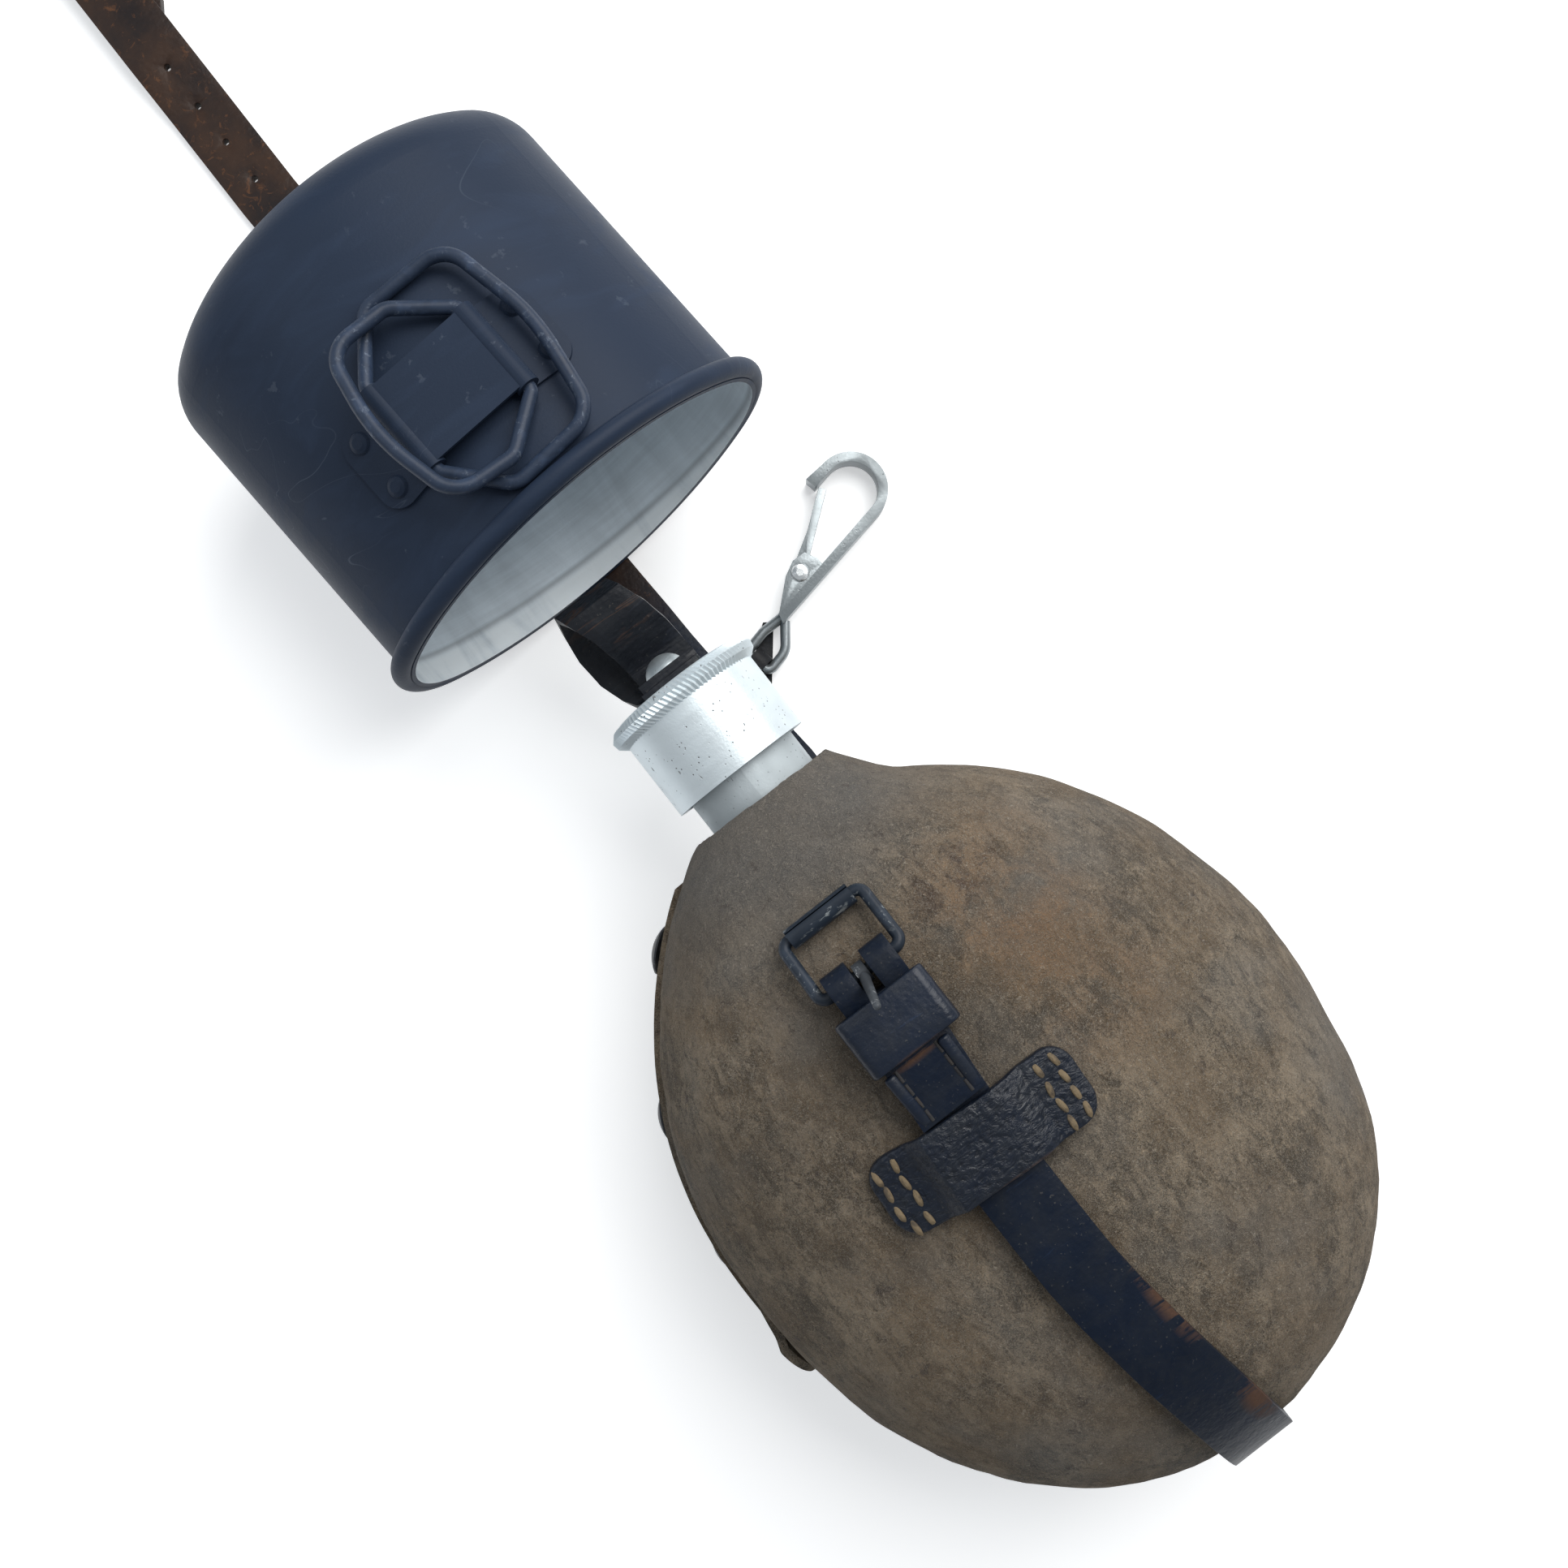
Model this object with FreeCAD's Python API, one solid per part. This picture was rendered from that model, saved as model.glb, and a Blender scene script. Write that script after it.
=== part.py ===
import FreeCAD, Part
import math
import os

# Old army field flask lying on its back, with its drinking cup on the carrying strap beyond the cap.
# X is to the right, Y runs from the flask's foot to its cap, Z is up. The origin is on the ground,
# on the flat underside of the strap, below the middle of the flask. All sizes are in millimetres.

# Felt cover and flask body
HALF_WIDTH = 69.0
FRONT_DEPTH = 42.4
BACK_DEPTH = 35.6
FOOT_Y = -77.0
WIDE_Y = 10.0
SHOULDER_Y = 96.0
COLLAR_R = 16.0
FELT_THICK = 3.0
FELT_FIT = 0.1
FLASK_WALL = 1.2
FOOT_ROUND = 2.15
FOOT_FRONT_ROUND = 3.4
FOOT_BACK_ROUND = 4.0
SHOULDER_ROUND = 2.2
SHOULDER_LEAN = 1.2
SHOULDER_DEPTH_ROUND = 2.6
SHOULDER_DEPTH_LEAN = 1.3
FRONT_SQUARE = 2.15
BACK_SQUARE = 3.2
NECK_RISE = 2.0
SECTION_POINTS = 24
# lean of the cover to one side, at shares of the way from its widest line to its foot or shoulder
SAG_MARKS = ((-1.0, 0.0), (-0.83, 1.6), (-0.63, 1.9), (-0.25, 0.6), (0.03, 0.2), (0.37, -1.1),
             (0.58, -2.0), (0.72, -2.9), (0.85, -4.6), (0.94, -3.4), (1.0, 0.0))
SEAM_STEP = 0.4

# Side flap of the cover with its press studs
FLAP_THICK = 2.0
FLAP_LOW = FOOT_Y + 62.0
FLAP_HIGH = SHOULDER_Y - 5.0
FLAP_DEPTH = 20.0
FLAP_TOP_DROP = 3.0
SNAP_YS = (SHOULDER_Y - 16.0, SHOULDER_Y - 46.0, SHOULDER_Y - 77.0)
SNAP_ANGLE = 199.0
SNAP_R = 5.5
SNAP_HIGH = 2.2
SNAP_LIFT = 0.35
STUD_R = 1.9
STUD_FIT = 0.05

# Neck and screw cap
NECK_R = 13.5
NECK_TOP = SHOULDER_Y + 26.6
NECK_LIP = 0.5
CAP_BORE_FIT = 1.0
CAP_WALL = 2.2
CAP_FOOT = SHOULDER_Y + 6.8
CAP_TOP = SHOULDER_Y + 30.0
CAP_TOP_THICK = 1.6
CAP_EDGE = 0.8
RIM_R = 19.0
RIM_FOOT = CAP_TOP - 5.2
RIM_TEETH = 96
RIM_TOOTH_DEEP = 0.5
RIM_TWIST = 7.6
GASKET_THICK = 1.5
GASKET_FIT = 0.3
GASKET_HOLE_R = 6.2

# Leather loop riveted on the cap
CAP_LOOP_WIDE = 14.5
CAP_LOOP_THICK = 1.9
CAP_LOOP_REACH = 28.5
CAP_LOOP_LEAN = -7.0
RIVET_R = 1.9
RIVET_FIT = 0.08
RIVET_HEAD_R = 4.8
RIVET_HEAD_HIGH = 3.6
WASHER_R = 4.6
WASHER_THICK = 0.8

# Carrying strap
STRAP_WIDE = 15.0
STRAP_THICK = 2.4
STRAP_FIT = 0.15
FOOT_FIT = 0.3
STRAP_BUCKLE_X = -5.0
STRAP_LOOP_X = -7.2
STRAP_FOOT_X = -0.3
STRAP_NECK_X = 8.4
STRAP_CUP_X = 1.6
STRAP_END_X = -5.6
STRAP_FOLD_Y = SHOULDER_Y + 296.0
STRAP_TAIL_Y = STRAP_FOLD_Y - 59.0
STRAP_TAIL_SHIFT = 1.8
STRAP_POINT = 9.0
STRAP_FOLD_R = 2.0
LAP_END_Y = 26.4
HOLE_YS = (STRAP_FOLD_Y - 101.0, STRAP_FOLD_Y - 89.5, STRAP_FOLD_Y - 78.5, STRAP_FOLD_Y - 67.5)
GROUND_BED = 0.02
HOLE_R = 1.6
PRONG_SLOT_WIDE = 3.6
CUP_LIFT = 0.9

# Buckle
BAR_Y = 56.0
BAR_R = 1.25
BAR_FIT = 0.25
FRAME_WIDE = 19.4
FRAME_REACH = 14.2
FRAME_CORNER = 1.9
ROLLER_R = 2.2
ROLLER_FIT = 0.08
ROLLER_LONG = 15.2
ROLLER_SLIT = 0.35
PRONG_LONG = 15.8
PRONG_R = 0.95
PRONG_LEAN = 16.0
PRONG_SKEW = -4.0
FELT_REST = 0.25

# Leather keeper and the cross loop sewn on the cover
KEEPER_Y = 45.3
KEEPER_LONG = 12.5
KEEPER_THICK = 2.1
KEEPER_UNDER = 1.3
KEEPER_FIT = 0.3
KEEPER_ROUND = 2.4
CROSS_Y = 17.4
CROSS_X = -6.7
CROSS_LONG = 46.0
CROSS_WIDE = 16.6
CROSS_THICK = 2.2
CROSS_TURN = -3.0
CROSS_CORNER = 5.0

# Snap hook, drawn along its own length from the end bar of its eye
HOOK_X = 18.6
HOOK_Y = SHOULDER_Y + 25.5
HOOK_TURN = 10.8
EYE_BAR_R = 1.25
EYE_FIT = 0.3
EYE_HALF = 3.6
EYE_MID = 0.3
WAIST = 12.0
HOOK_TALL = 6.0
HOOK_STRIP = 2.4
HOOK_RUN = 46.3
HOOK_BACK_V = 3.0
HOOK_BEND_R = 7.9
HOOK_TIP = 41.0
PIVOT_U = 23.0
PIVOT_V = 6.8
PIVOT_R = 1.1
PIVOT_FIT = 0.06
PIVOT_HEAD_R = 2.3
PIVOT_HEAD_HIGH = 0.8
CHEEK_THICK = 1.0
GATE_FIT = 0.15
GATE_LONG = 21.3
GATE_TURN = 25.9
GATE_WIDE = 2.4
KNUCKLE_R = 2.1
LEAF_THICK = 0.35
LEAF_LONG = 11.0

# Leather loop that ties the hook's eye to the strap
TIE_THICK = 1.6
TIE_WIDE = 11.0
TIE_NARROW = 4.2

# Drinking cup, drawn upright in its own axes: mouth at 0, closed end along +Y
CUP_HALF_WIDTH = 48.7
CUP_HALF_HIGH = 37.0
CUP_SIDE_R = 27.0
CUP_LONG = 84.5
CUP_WALL = 1.0
CUP_CORNER = 12.0
BEAD_R = 2.2
BEAD_OUT = 0.95
CUP_X = 4.7
CUP_Y = SHOULDER_Y + 67.0
CUP_YAW = 3.5
CUP_SEAT = 0.1

# Handle bracket on the cup
BRACKET_X = -1.6
BRACKET_Y = 28.5
BRACKET_LONG = 20.0
BRACKET_HALF = 24.2
PLATE_THICK = 0.9
HINGE_X = 11.75
HINGE_RISE = 2.907
TUBE_WALL = 0.95
WIRE_R = 1.45
WIRE_FIT = 0.05
PLATE_CORNER = 5.0
PLATE_RIVET_X = 19.6
PLATE_RIVET_PITCH = 11.4
PLATE_RIVET_R = 1.2
PLATE_RIVET_HEAD_R = 2.3
PLATE_RIVET_HIGH = 1.0
PLATE_FIT = 0.02

# Folding wire handles: reach from the hinge, half width, and where the splayed legs straighten
OUTER_REACH = 32.8
OUTER_HALF = 22.6
OUTER_SPLAY = 9.6
INNER_REACH = 28.2
INNER_HALF = 19.0
INNER_SPLAY = 11.0
HANDLE_BOW = 3.4
HANDLE_CORNER = 6.5
INNER_TILT = 13.0
HANDLE_GAP = 0.5

# Places that follow from the sizes above
SIDE_Z = STRAP_THICK + STRAP_FIT + BACK_DEPTH
NECK_Z = SIDE_Z + NECK_RISE
CAP_BORE_R = NECK_R + CAP_BORE_FIT
CAP_R = CAP_BORE_R + CAP_WALL
CAP_CEILING = CAP_TOP - CAP_TOP_THICK
HOOK_Z = TIE_THICK + EYE_FIT + EYE_BAR_R
TIE_LIFT = TIE_THICK + 0.05
TUBE_R = WIRE_R + WIRE_FIT + TUBE_WALL
CUP_FLAT_A = CUP_HALF_WIDTH - CUP_SIDE_R
CUP_FLAT_R = (CUP_FLAT_A ** 2 + CUP_HALF_HIGH ** 2 - CUP_SIDE_R ** 2) / (2 * (CUP_HALF_HIGH - CUP_SIDE_R))
HINGE_Z = CUP_HALF_HIGH - CUP_FLAT_R + math.sqrt(CUP_FLAT_R ** 2 - HINGE_X ** 2) + HINGE_RISE

PARTS = {}


def vec(x, y, z):
    return FreeCAD.Vector(x, y, z)


def keep(name, shape):
    """Store one finished piece under its name."""
    PARTS[name] = shape.removeSplitter() if shape.ShapeType == "Solid" else shape
    return shape


def placed(shape, place):
    """Copy of a shape moved by a placement."""
    moved = shape.copy()
    moved.Placement = place * shape.Placement
    return moved


def prism(points, vector):
    """Straight prism on a closed polygon of points."""
    return Part.Face(Part.makePolygon(points + [points[0]])).extrude(vector)


def turned(profile, axis_x, axis_z):
    """Body of revolution about an axis along Y; the profile is a list of (radius, y)."""
    points = [vec(axis_x + r, y, axis_z) for r, y in profile]
    face = Part.Face(Part.makePolygon(points + [points[0]]))
    return face.revolve(vec(axis_x, 0, axis_z), vec(0, 1, 0), 360)


def arc(start, middle, end):
    return Part.Arc(start, middle, end).toShape()


def line(start, end):
    return Part.LineSegment(start, end).toShape()


def rounded_path(points, radii):
    """Straight runs joined by tangent arcs; radii holds one radius for each inner point."""
    edges = []
    start = points[0]
    for i in range(1, len(points) - 1):
        back = (points[i - 1] - points[i]).normalize()
        ahead = (points[i + 1] - points[i]).normalize()
        half = back.getAngle(ahead) / 2
        cut = radii[i - 1] / math.tan(half)
        first = points[i] + back * cut
        last = points[i] + ahead * cut
        toward = (back + ahead).normalize()
        centre = points[i] + toward * (radii[i - 1] / math.sin(half))
        edges.append(line(start, first))
        edges.append(arc(first, centre - toward * radii[i - 1], last))
        start = last
    edges.append(line(start, points[-1]))
    return edges


def rod(edges, radius):
    """Round wire swept along a path of edges."""
    path = Part.Wire(edges)
    first = edges[0]
    start = first.valueAt(first.FirstParameter)
    ring = Part.makeCircle(radius, start, first.tangentAt(first.FirstParameter))
    return path.makePipeShell([Part.Wire(ring)], True, False)


def ribbon(stations):
    """Flat strap through stations, each (centre, across, normal)."""
    wires = []
    for centre, across, normal in stations:
        corners = [centre - across - normal, centre + across - normal,
                   centre + across + normal, centre - across + normal]
        wires.append(Part.makePolygon(corners + [corners[0]]))
    return Part.makeLoft(wires, True, True, False)


def ridge(share, power, lean):
    """Fall of a rounded outline from 1 to 0 as share goes from 0 to 1."""
    return max(0.0, 1 - share ** power) ** (1 / lean)


def girth(y, inset, top_r):
    """Half width, front and back depth, side height and squareness of the flask at y."""
    if y <= WIDE_Y:
        u = min(1.0, (WIDE_Y - y) / (WIDE_Y - FOOT_Y - inset))
        wide = (HALF_WIDTH - inset) * ridge(u, FOOT_ROUND, 2)
        front = (FRONT_DEPTH - inset) * ridge(u, FOOT_FRONT_ROUND, 2)
        back = (BACK_DEPTH - inset) * ridge(u, FOOT_BACK_ROUND, 2)
        return wide, front, back, SIDE_Z, FRONT_SQUARE, BACK_SQUARE
    u = min(1.0, (y - WIDE_Y) / (SHOULDER_Y - inset / 2 - WIDE_Y))
    fall = ridge(u, SHOULDER_ROUND, SHOULDER_LEAN)
    deep = ridge(u, SHOULDER_DEPTH_ROUND, SHOULDER_DEPTH_LEAN)
    wide = top_r + (HALF_WIDTH - inset - top_r) * fall
    front = top_r + (FRONT_DEPTH - inset - top_r) * deep
    back = top_r + (BACK_DEPTH - inset - top_r) * deep
    blend = u * u
    side = SIDE_Z + NECK_RISE * blend
    front_n = FRONT_SQUARE + (2 - FRONT_SQUARE) * blend
    back_n = BACK_SQUARE + (2 - BACK_SQUARE) * blend
    return wide, front, back, side, front_n, back_n


def sag(y):
    """Sideways lean of the section: the right side is fuller at the foot and leaner at the shoulder."""
    share = (y - WIDE_Y) / (SHOULDER_Y - WIDE_Y if y > WIDE_Y else WIDE_Y - FOOT_Y)
    for (s0, x0), (s1, x1) in zip(SAG_MARKS, SAG_MARKS[1:]):
        if share <= s1:
            return x0 + (x1 - x0) * smooth((share - s0) / (s1 - s0))
    return 0.0


def skin_point(y, angle, inset=0.0, top_r=COLLAR_R):
    """Point of the flask's skin at y and at an angle in degrees round its section."""
    wide, front, back, side, front_n, back_n = girth(y, inset, top_r)
    lean = sag(y)
    c = math.cos(math.radians(angle))
    s = math.sin(math.radians(angle))
    power = front_n if s >= 0 else back_n
    depth = front if s >= 0 else back
    reach = (abs(c) ** power + abs(s) ** power) ** (-1 / power)
    return vec(lean + (wide + lean) * reach * c, y, side + depth * reach * s)


def skin_normal(y, angle):
    """Outward direction of the felt's skin."""
    along = skin_point(y + 0.5, angle) - skin_point(y - 0.5, angle)
    around = skin_point(y, angle + 0.5) - skin_point(y, angle - 0.5)
    return along.cross(around).normalize()


def felt_front(x, y, inset=0.0):
    """Height of the felt's front face at x, y."""
    wide, front, back, side, power, _ = girth(y, inset, COLLAR_R)
    lean = sag(y)
    return side + front * max(0.0, 1 - (abs(x - lean) / (wide + lean)) ** power) ** (1 / power)


def flask_skin(inset, top_r):
    """Solid inside the flask's skin, from the rounded foot to the shoulder."""
    foot = FOOT_Y + inset
    top = SHOULDER_Y - inset / 2
    low = [0.999, 0.988, 0.955, 0.9, 0.82, 0.7, 0.54, 0.3]
    high = [0.26, 0.47, 0.64, 0.77, 0.87, 0.94, 0.98, 1.0]
    ys = [WIDE_Y - u * (WIDE_Y - foot) for u in low] + [WIDE_Y]
    ys += [WIDE_Y + u * (top - WIDE_Y) for u in high]
    steps = [float(i) for i in range(SECTION_POINTS + 1)]
    wires = []
    for y in ys:
        ring = [skin_point(y, 360 * i / SECTION_POINTS, inset, top_r) for i in range(SECTION_POINTS)]
        curve = Part.BSplineCurve()
        curve.interpolate(Points=ring, Parameters=steps, PeriodicFlag=True)
        wires.append(Part.Wire(curve.toShape()))
    return Part.makeLoft(wires, True, False, False, 5)


def neck_bar(radius, low, high):
    return Part.makeCylinder(radius, high - low, vec(0, low, NECK_Z), vec(0, 1, 0))


def make_flask():
    """Aluminium bottle: thin wall all round, straight neck, open mouth."""
    outside = FELT_THICK + FELT_FIT
    inside = outside + FLASK_WALL
    body = flask_skin(outside, NECK_R + SEAM_STEP).fuse(neck_bar(NECK_R, SHOULDER_Y - 8, NECK_TOP))
    hollow = flask_skin(inside, NECK_R - FLASK_WALL + SEAM_STEP)
    hollow = hollow.fuse(neck_bar(NECK_R - FLASK_WALL, SHOULDER_Y - 8, NECK_TOP + 1))
    flask = body.cut(hollow)
    lip = [edge for edge in flask.Edges if abs(edge.CenterOfMass.y - NECK_TOP) < 0.01]
    return keep("flask", flask.makeFillet(NECK_LIP, lip))


def make_cover():
    """Felt cover, open round the neck."""
    hollow = flask_skin(FELT_THICK, NECK_R + FELT_FIT + SEAM_STEP)
    hollow = hollow.fuse(neck_bar(NECK_R + FELT_FIT, SHOULDER_Y - 8, SHOULDER_Y + 1))
    return keep("felt_cover", flask_skin(0.0, COLLAR_R).cut(hollow))


def make_side_flap():
    """Felt closing flap down the left side, below the widest line, rounded at its low end."""
    outer = flask_skin(-FLAP_THICK, COLLAR_R + FLAP_THICK)
    inner = flask_skin(-0.02, COLLAR_R + 0.02)
    top = SIDE_Z - FLAP_TOP_DROP
    half = FLAP_DEPTH / 2
    zone = Part.makeBox(HALF_WIDTH, FLAP_HIGH - FLAP_LOW - half, FLAP_DEPTH,
                        vec(-HALF_WIDTH - 8, FLAP_LOW + half, top - FLAP_DEPTH))
    centre = vec(-HALF_WIDTH - 8, FLAP_LOW + half, top - half)
    end = Part.makeCylinder(half, HALF_WIDTH, centre, vec(1, 0, 0))
    flap = outer.common(zone.fuse(end)).cut(inner)
    for y in SNAP_YS:
        hole = Part.makeCylinder(STUD_R + STUD_FIT, 2 * FLAP_THICK, vec(0, 0, -1.5 * FLAP_THICK))
        flap = flap.cut(placed(hole, snap_place(y)))
    return keep("side_flap", flap)


def snap_place(y):
    """Placement on the flap with Z along the outward direction."""
    normal = skin_normal(y, SNAP_ANGLE)
    foot = skin_point(y, SNAP_ANGLE) + normal * FLAP_THICK
    return FreeCAD.Placement(foot, FreeCAD.Rotation(vec(0, 0, 1), normal))


def make_snaps():
    """Press studs: a domed cap outside the flap and a post through the felt under each."""
    caps = []
    studs = []
    for y in SNAP_YS:
        place = snap_place(y)
        crown = Part.makeSphere(SNAP_R * 1.7, vec(0, 0, SNAP_HIGH + SNAP_LIFT - SNAP_R * 1.7))
        dish = Part.makeCylinder(SNAP_R, SNAP_HIGH, vec(0, 0, SNAP_LIFT)).common(crown)
        cap = dish.cut(Part.makeCylinder(STUD_R + STUD_FIT, 1.0, vec(0, 0, 0.2)))
        post = Part.makeCylinder(STUD_R, FLAP_THICK + 0.7, vec(0, 0, 0.2 - FLAP_THICK))
        caps.append(placed(cap, place))
        studs.append(placed(post, place))
    return keep("snap_caps", Part.makeCompound(caps)), keep("snap_studs", Part.makeCompound(studs))


def rim_ring():
    """Rope knurl of the cap: a toothed outline carried up in twisted, barrelled layers."""
    tall = CAP_TOP - 0.4 - RIM_FOOT
    steps = 3
    count = 2 * RIM_TEETH
    rings = []
    for k in range(steps + 1):
        share = k / steps
        crest = RIM_R - 1.9 * (2 * share - 1.12) ** 2
        ring = []
        for i in range(count):
            radius = crest if i % 2 else crest - RIM_TOOTH_DEEP
            angle = math.radians(RIM_TWIST * share + 360.0 * i / count)
            spot = vec(radius * math.cos(angle), RIM_FOOT + tall * share, radius * math.sin(angle))
            ring.append(spot + vec(0, 0, NECK_Z))
        rings.append(ring)
    faces = [Part.Face(Part.makePolygon(ring + [ring[0]])) for ring in (rings[0], rings[-1])]
    for low, high in zip(rings, rings[1:]):
        for i in range(count):
            j = (i + 1) % count
            faces.append(Part.Face(Part.makePolygon([low[i], low[j], high[j], low[i]])))
            faces.append(Part.Face(Part.makePolygon([low[i], high[j], high[i], low[i]])))
    shell = Part.makeShell(faces)
    shell.sewShape()
    solid = Part.makeSolid(shell)
    if solid.Volume < 0:
        solid.reverse()
    return solid


def make_cap():
    """Screw cap: deep skirt, flat top and rope-knurled rim, with a rivet hole in the top."""
    profile = [(0, CAP_TOP), (CAP_R - CAP_EDGE, CAP_TOP), (CAP_R, CAP_TOP - CAP_EDGE), (CAP_R, CAP_FOOT),
               (CAP_BORE_R, CAP_FOOT), (CAP_BORE_R, CAP_CEILING), (0, CAP_CEILING)]
    shell = turned(profile, 0, NECK_Z)
    ring = rim_ring().cut(neck_bar(CAP_R - 0.6, RIM_FOOT - 1, CAP_TOP + 1))
    hole = neck_bar(RIVET_R + RIVET_FIT, CAP_CEILING - 1, CAP_TOP + 1)
    return keep("cap", shell.fuse(ring).cut(hole))


def make_gasket():
    """Sealing ring under the cap's top."""
    top = CAP_CEILING
    radius = CAP_BORE_R - GASKET_FIT
    return keep("cap_gasket", neck_bar(radius, top - GASKET_THICK, top).cut(
        neck_bar(GASKET_HOLE_R, top - GASKET_THICK - 1, top + 1)))


def make_cap_loop():
    """Leather strip bent into a standing loop, its two ends laid on each other under the rivet."""
    half = CAP_LOOP_THICK / 2
    low = CAP_TOP + 0.05 + half
    high = low + CAP_LOOP_THICK + 0.05
    top = CAP_TOP + CAP_LOOP_REACH
    lean = CAP_LOOP_LEAN
    # centre-line points (x, y, z), from the upper end over the top to the lower end
    line_points = [
        (0.6, high, NECK_Z + 7.2), (0.6, high, NECK_Z + 2.4), (0.6, high, NECK_Z - 2.4),
        (0.6, high + 0.2, NECK_Z - 5.8), (0.6, high + 2.4, NECK_Z - 7.8), (0.4, high + 6.4, NECK_Z - 7.2),
        (0.0, high + 11.0, NECK_Z - 3.4), (-1.2, high + 16.0, NECK_Z + 0.6),
        (lean * 0.5, top - half - 3.0, NECK_Z + 2.2), (lean * 0.7, top - half, NECK_Z - 1.6),
        (lean * 0.85, top - half - 2.8, NECK_Z - 6.8), (lean, top - half - 8.6, NECK_Z - 11.2),
        (lean * 0.95, low + 11.0, NECK_Z - 13.8), (lean * 0.7, low + 5.2, NECK_Z - 14.6),
        (lean * 0.4, low + 1.5, NECK_Z - 13.2), (lean * 0.1, low, NECK_Z - 9.6),
        (0.0, low, NECK_Z - 4.0), (0.0, low, NECK_Z + 2.0), (0.0, low, NECK_Z + 7.6)]
    stations = []
    count = len(line_points)
    for i in range(count):
        centre = vec(*line_points[i])
        before = vec(*line_points[max(0, i - 1)])
        after = vec(*line_points[min(count - 1, i + 1)])
        run = (after - before).normalize()
        across = vec(1, 0, 0)
        normal = across.cross(run).normalize()
        stations.append((centre, across * (CAP_LOOP_WIDE / 2), normal * half))
    loop = ribbon(stations)
    hole = neck_bar(RIVET_R + 0.02, CAP_TOP - 1, high + 3)
    return keep("cap_loop", loop.cut(hole)), high + half


def make_cap_rivet(seat):
    """Rivet with a domed head outside, and its shank through the cap's top to the washer."""
    head_y = seat + 0.2
    foot = CAP_CEILING - WASHER_THICK - 0.15
    tail = foot - 0.9
    ball = (RIVET_HEAD_R ** 2 + RIVET_HEAD_HIGH ** 2) / (2 * RIVET_HEAD_HIGH)
    dome = Part.makeSphere(ball, vec(0, head_y + RIVET_HEAD_HIGH - ball, NECK_Z))
    head = dome.common(neck_bar(RIVET_HEAD_R, head_y, head_y + RIVET_HEAD_HIGH + 1))
    shank = neck_bar(RIVET_R, tail + 0.5, head_y + 0.5)
    peen = turned([(0, tail), (RIVET_R * 0.7, tail), (RIVET_R * 1.35, foot - 0.1), (RIVET_R * 1.35, foot),
                   (0, foot)], 0, NECK_Z)
    return keep("cap_rivet", head.fuse(shank).fuse(peen))


def make_cap_washer():
    top = CAP_CEILING - 0.1
    return keep("cap_washer", neck_bar(WASHER_R, top - WASHER_THICK, top).cut(
        neck_bar(RIVET_R + 0.02, top - WASHER_THICK - 1, top + 1)))


def smooth(share):
    share = min(1.0, max(0.0, share))
    return share * share * (3 - 2 * share)


def strap_lift(y):
    """Height of the strap's underside above the ground behind the neck, where the hook's tie
    passes under it, and under the cup's bead."""
    before_bead = smooth((y - CUP_Y + 31) / 20)
    over_tie = smooth((y - SHOULDER_Y) / 14) * (1 - before_bead) * TIE_LIFT
    under_bead = before_bead * (1 - smooth((y - CUP_Y - 9) / 24)) * CUP_LIFT
    return over_tie + under_bead


def strap_front_x(y):
    """Sideways place of the strap on the front of the flask."""
    if y >= CROSS_Y:
        return STRAP_LOOP_X + (STRAP_BUCKLE_X - STRAP_LOOP_X) * smooth((y - CROSS_Y) / (BAR_Y - CROSS_Y))
    start = CROSS_Y - 24
    return STRAP_LOOP_X + (STRAP_FOOT_X - STRAP_LOOP_X) * smooth((start - y) / (start - FOOT_Y))


def strap_back_x(y):
    """Sideways place of the strap where it lies on the ground."""
    marks = ((FOOT_Y, STRAP_FOOT_X), (SHOULDER_Y, STRAP_NECK_X), (CUP_Y - 28, STRAP_CUP_X + 1),
             (CUP_Y + 7, STRAP_CUP_X), (CUP_Y + 122, STRAP_END_X))
    for (y0, x0), (y1, x1) in zip(marks, marks[1:]):
        if y <= y1:
            return x0 + (x1 - x0) * smooth((y - y0) / (y1 - y0))
    return STRAP_END_X


def crest(y):
    """Highest felt under the strap's width at y."""
    off = strap_front_x(y) - sag(y)
    near = math.copysign(max(0.0, abs(off) - STRAP_WIDE / 2), off)
    return felt_front(sag(y) + near, y)


def front_normal(y):
    """Outward direction of the cover's front under the strap."""
    return vec(0, (crest(y - 1) - crest(y + 1)) / 2, 1).normalize()


def over_front(y, rise):
    """Point above the cover's front under the strap, at a height over the felt."""
    return vec(strap_front_x(y), y, crest(y)) + front_normal(y) * rise


def front_lift(y):
    """Gap under the strap's lower layer, where the keeper passes beneath it."""
    gap = KEEPER_UNDER + KEEPER_FIT
    return STRAP_FIT + gap * smooth((y - 29) / 9) * (1 - 0.5 * smooth((y - 51) / 6))


def bar_centre():
    """Centre of the buckle's near bar, inside the fold of the strap."""
    return over_front(BAR_Y, front_lift(BAR_Y) + STRAP_THICK + BAR_FIT + BAR_R)


def foot_profile(angle):
    """Outline of the cover along its length: front at 90, tip of the foot at 0, back at -90."""
    share = math.sin(math.radians(angle))
    power = FOOT_FRONT_ROUND if angle >= 0 else FOOT_BACK_ROUND
    depth = FRONT_DEPTH if angle >= 0 else BACK_DEPTH
    u = (1 - share * share) ** (1 / power)
    return vec(0, WIDE_Y - u * (WIDE_Y - FOOT_Y), SIDE_Z + depth * share)


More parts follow.
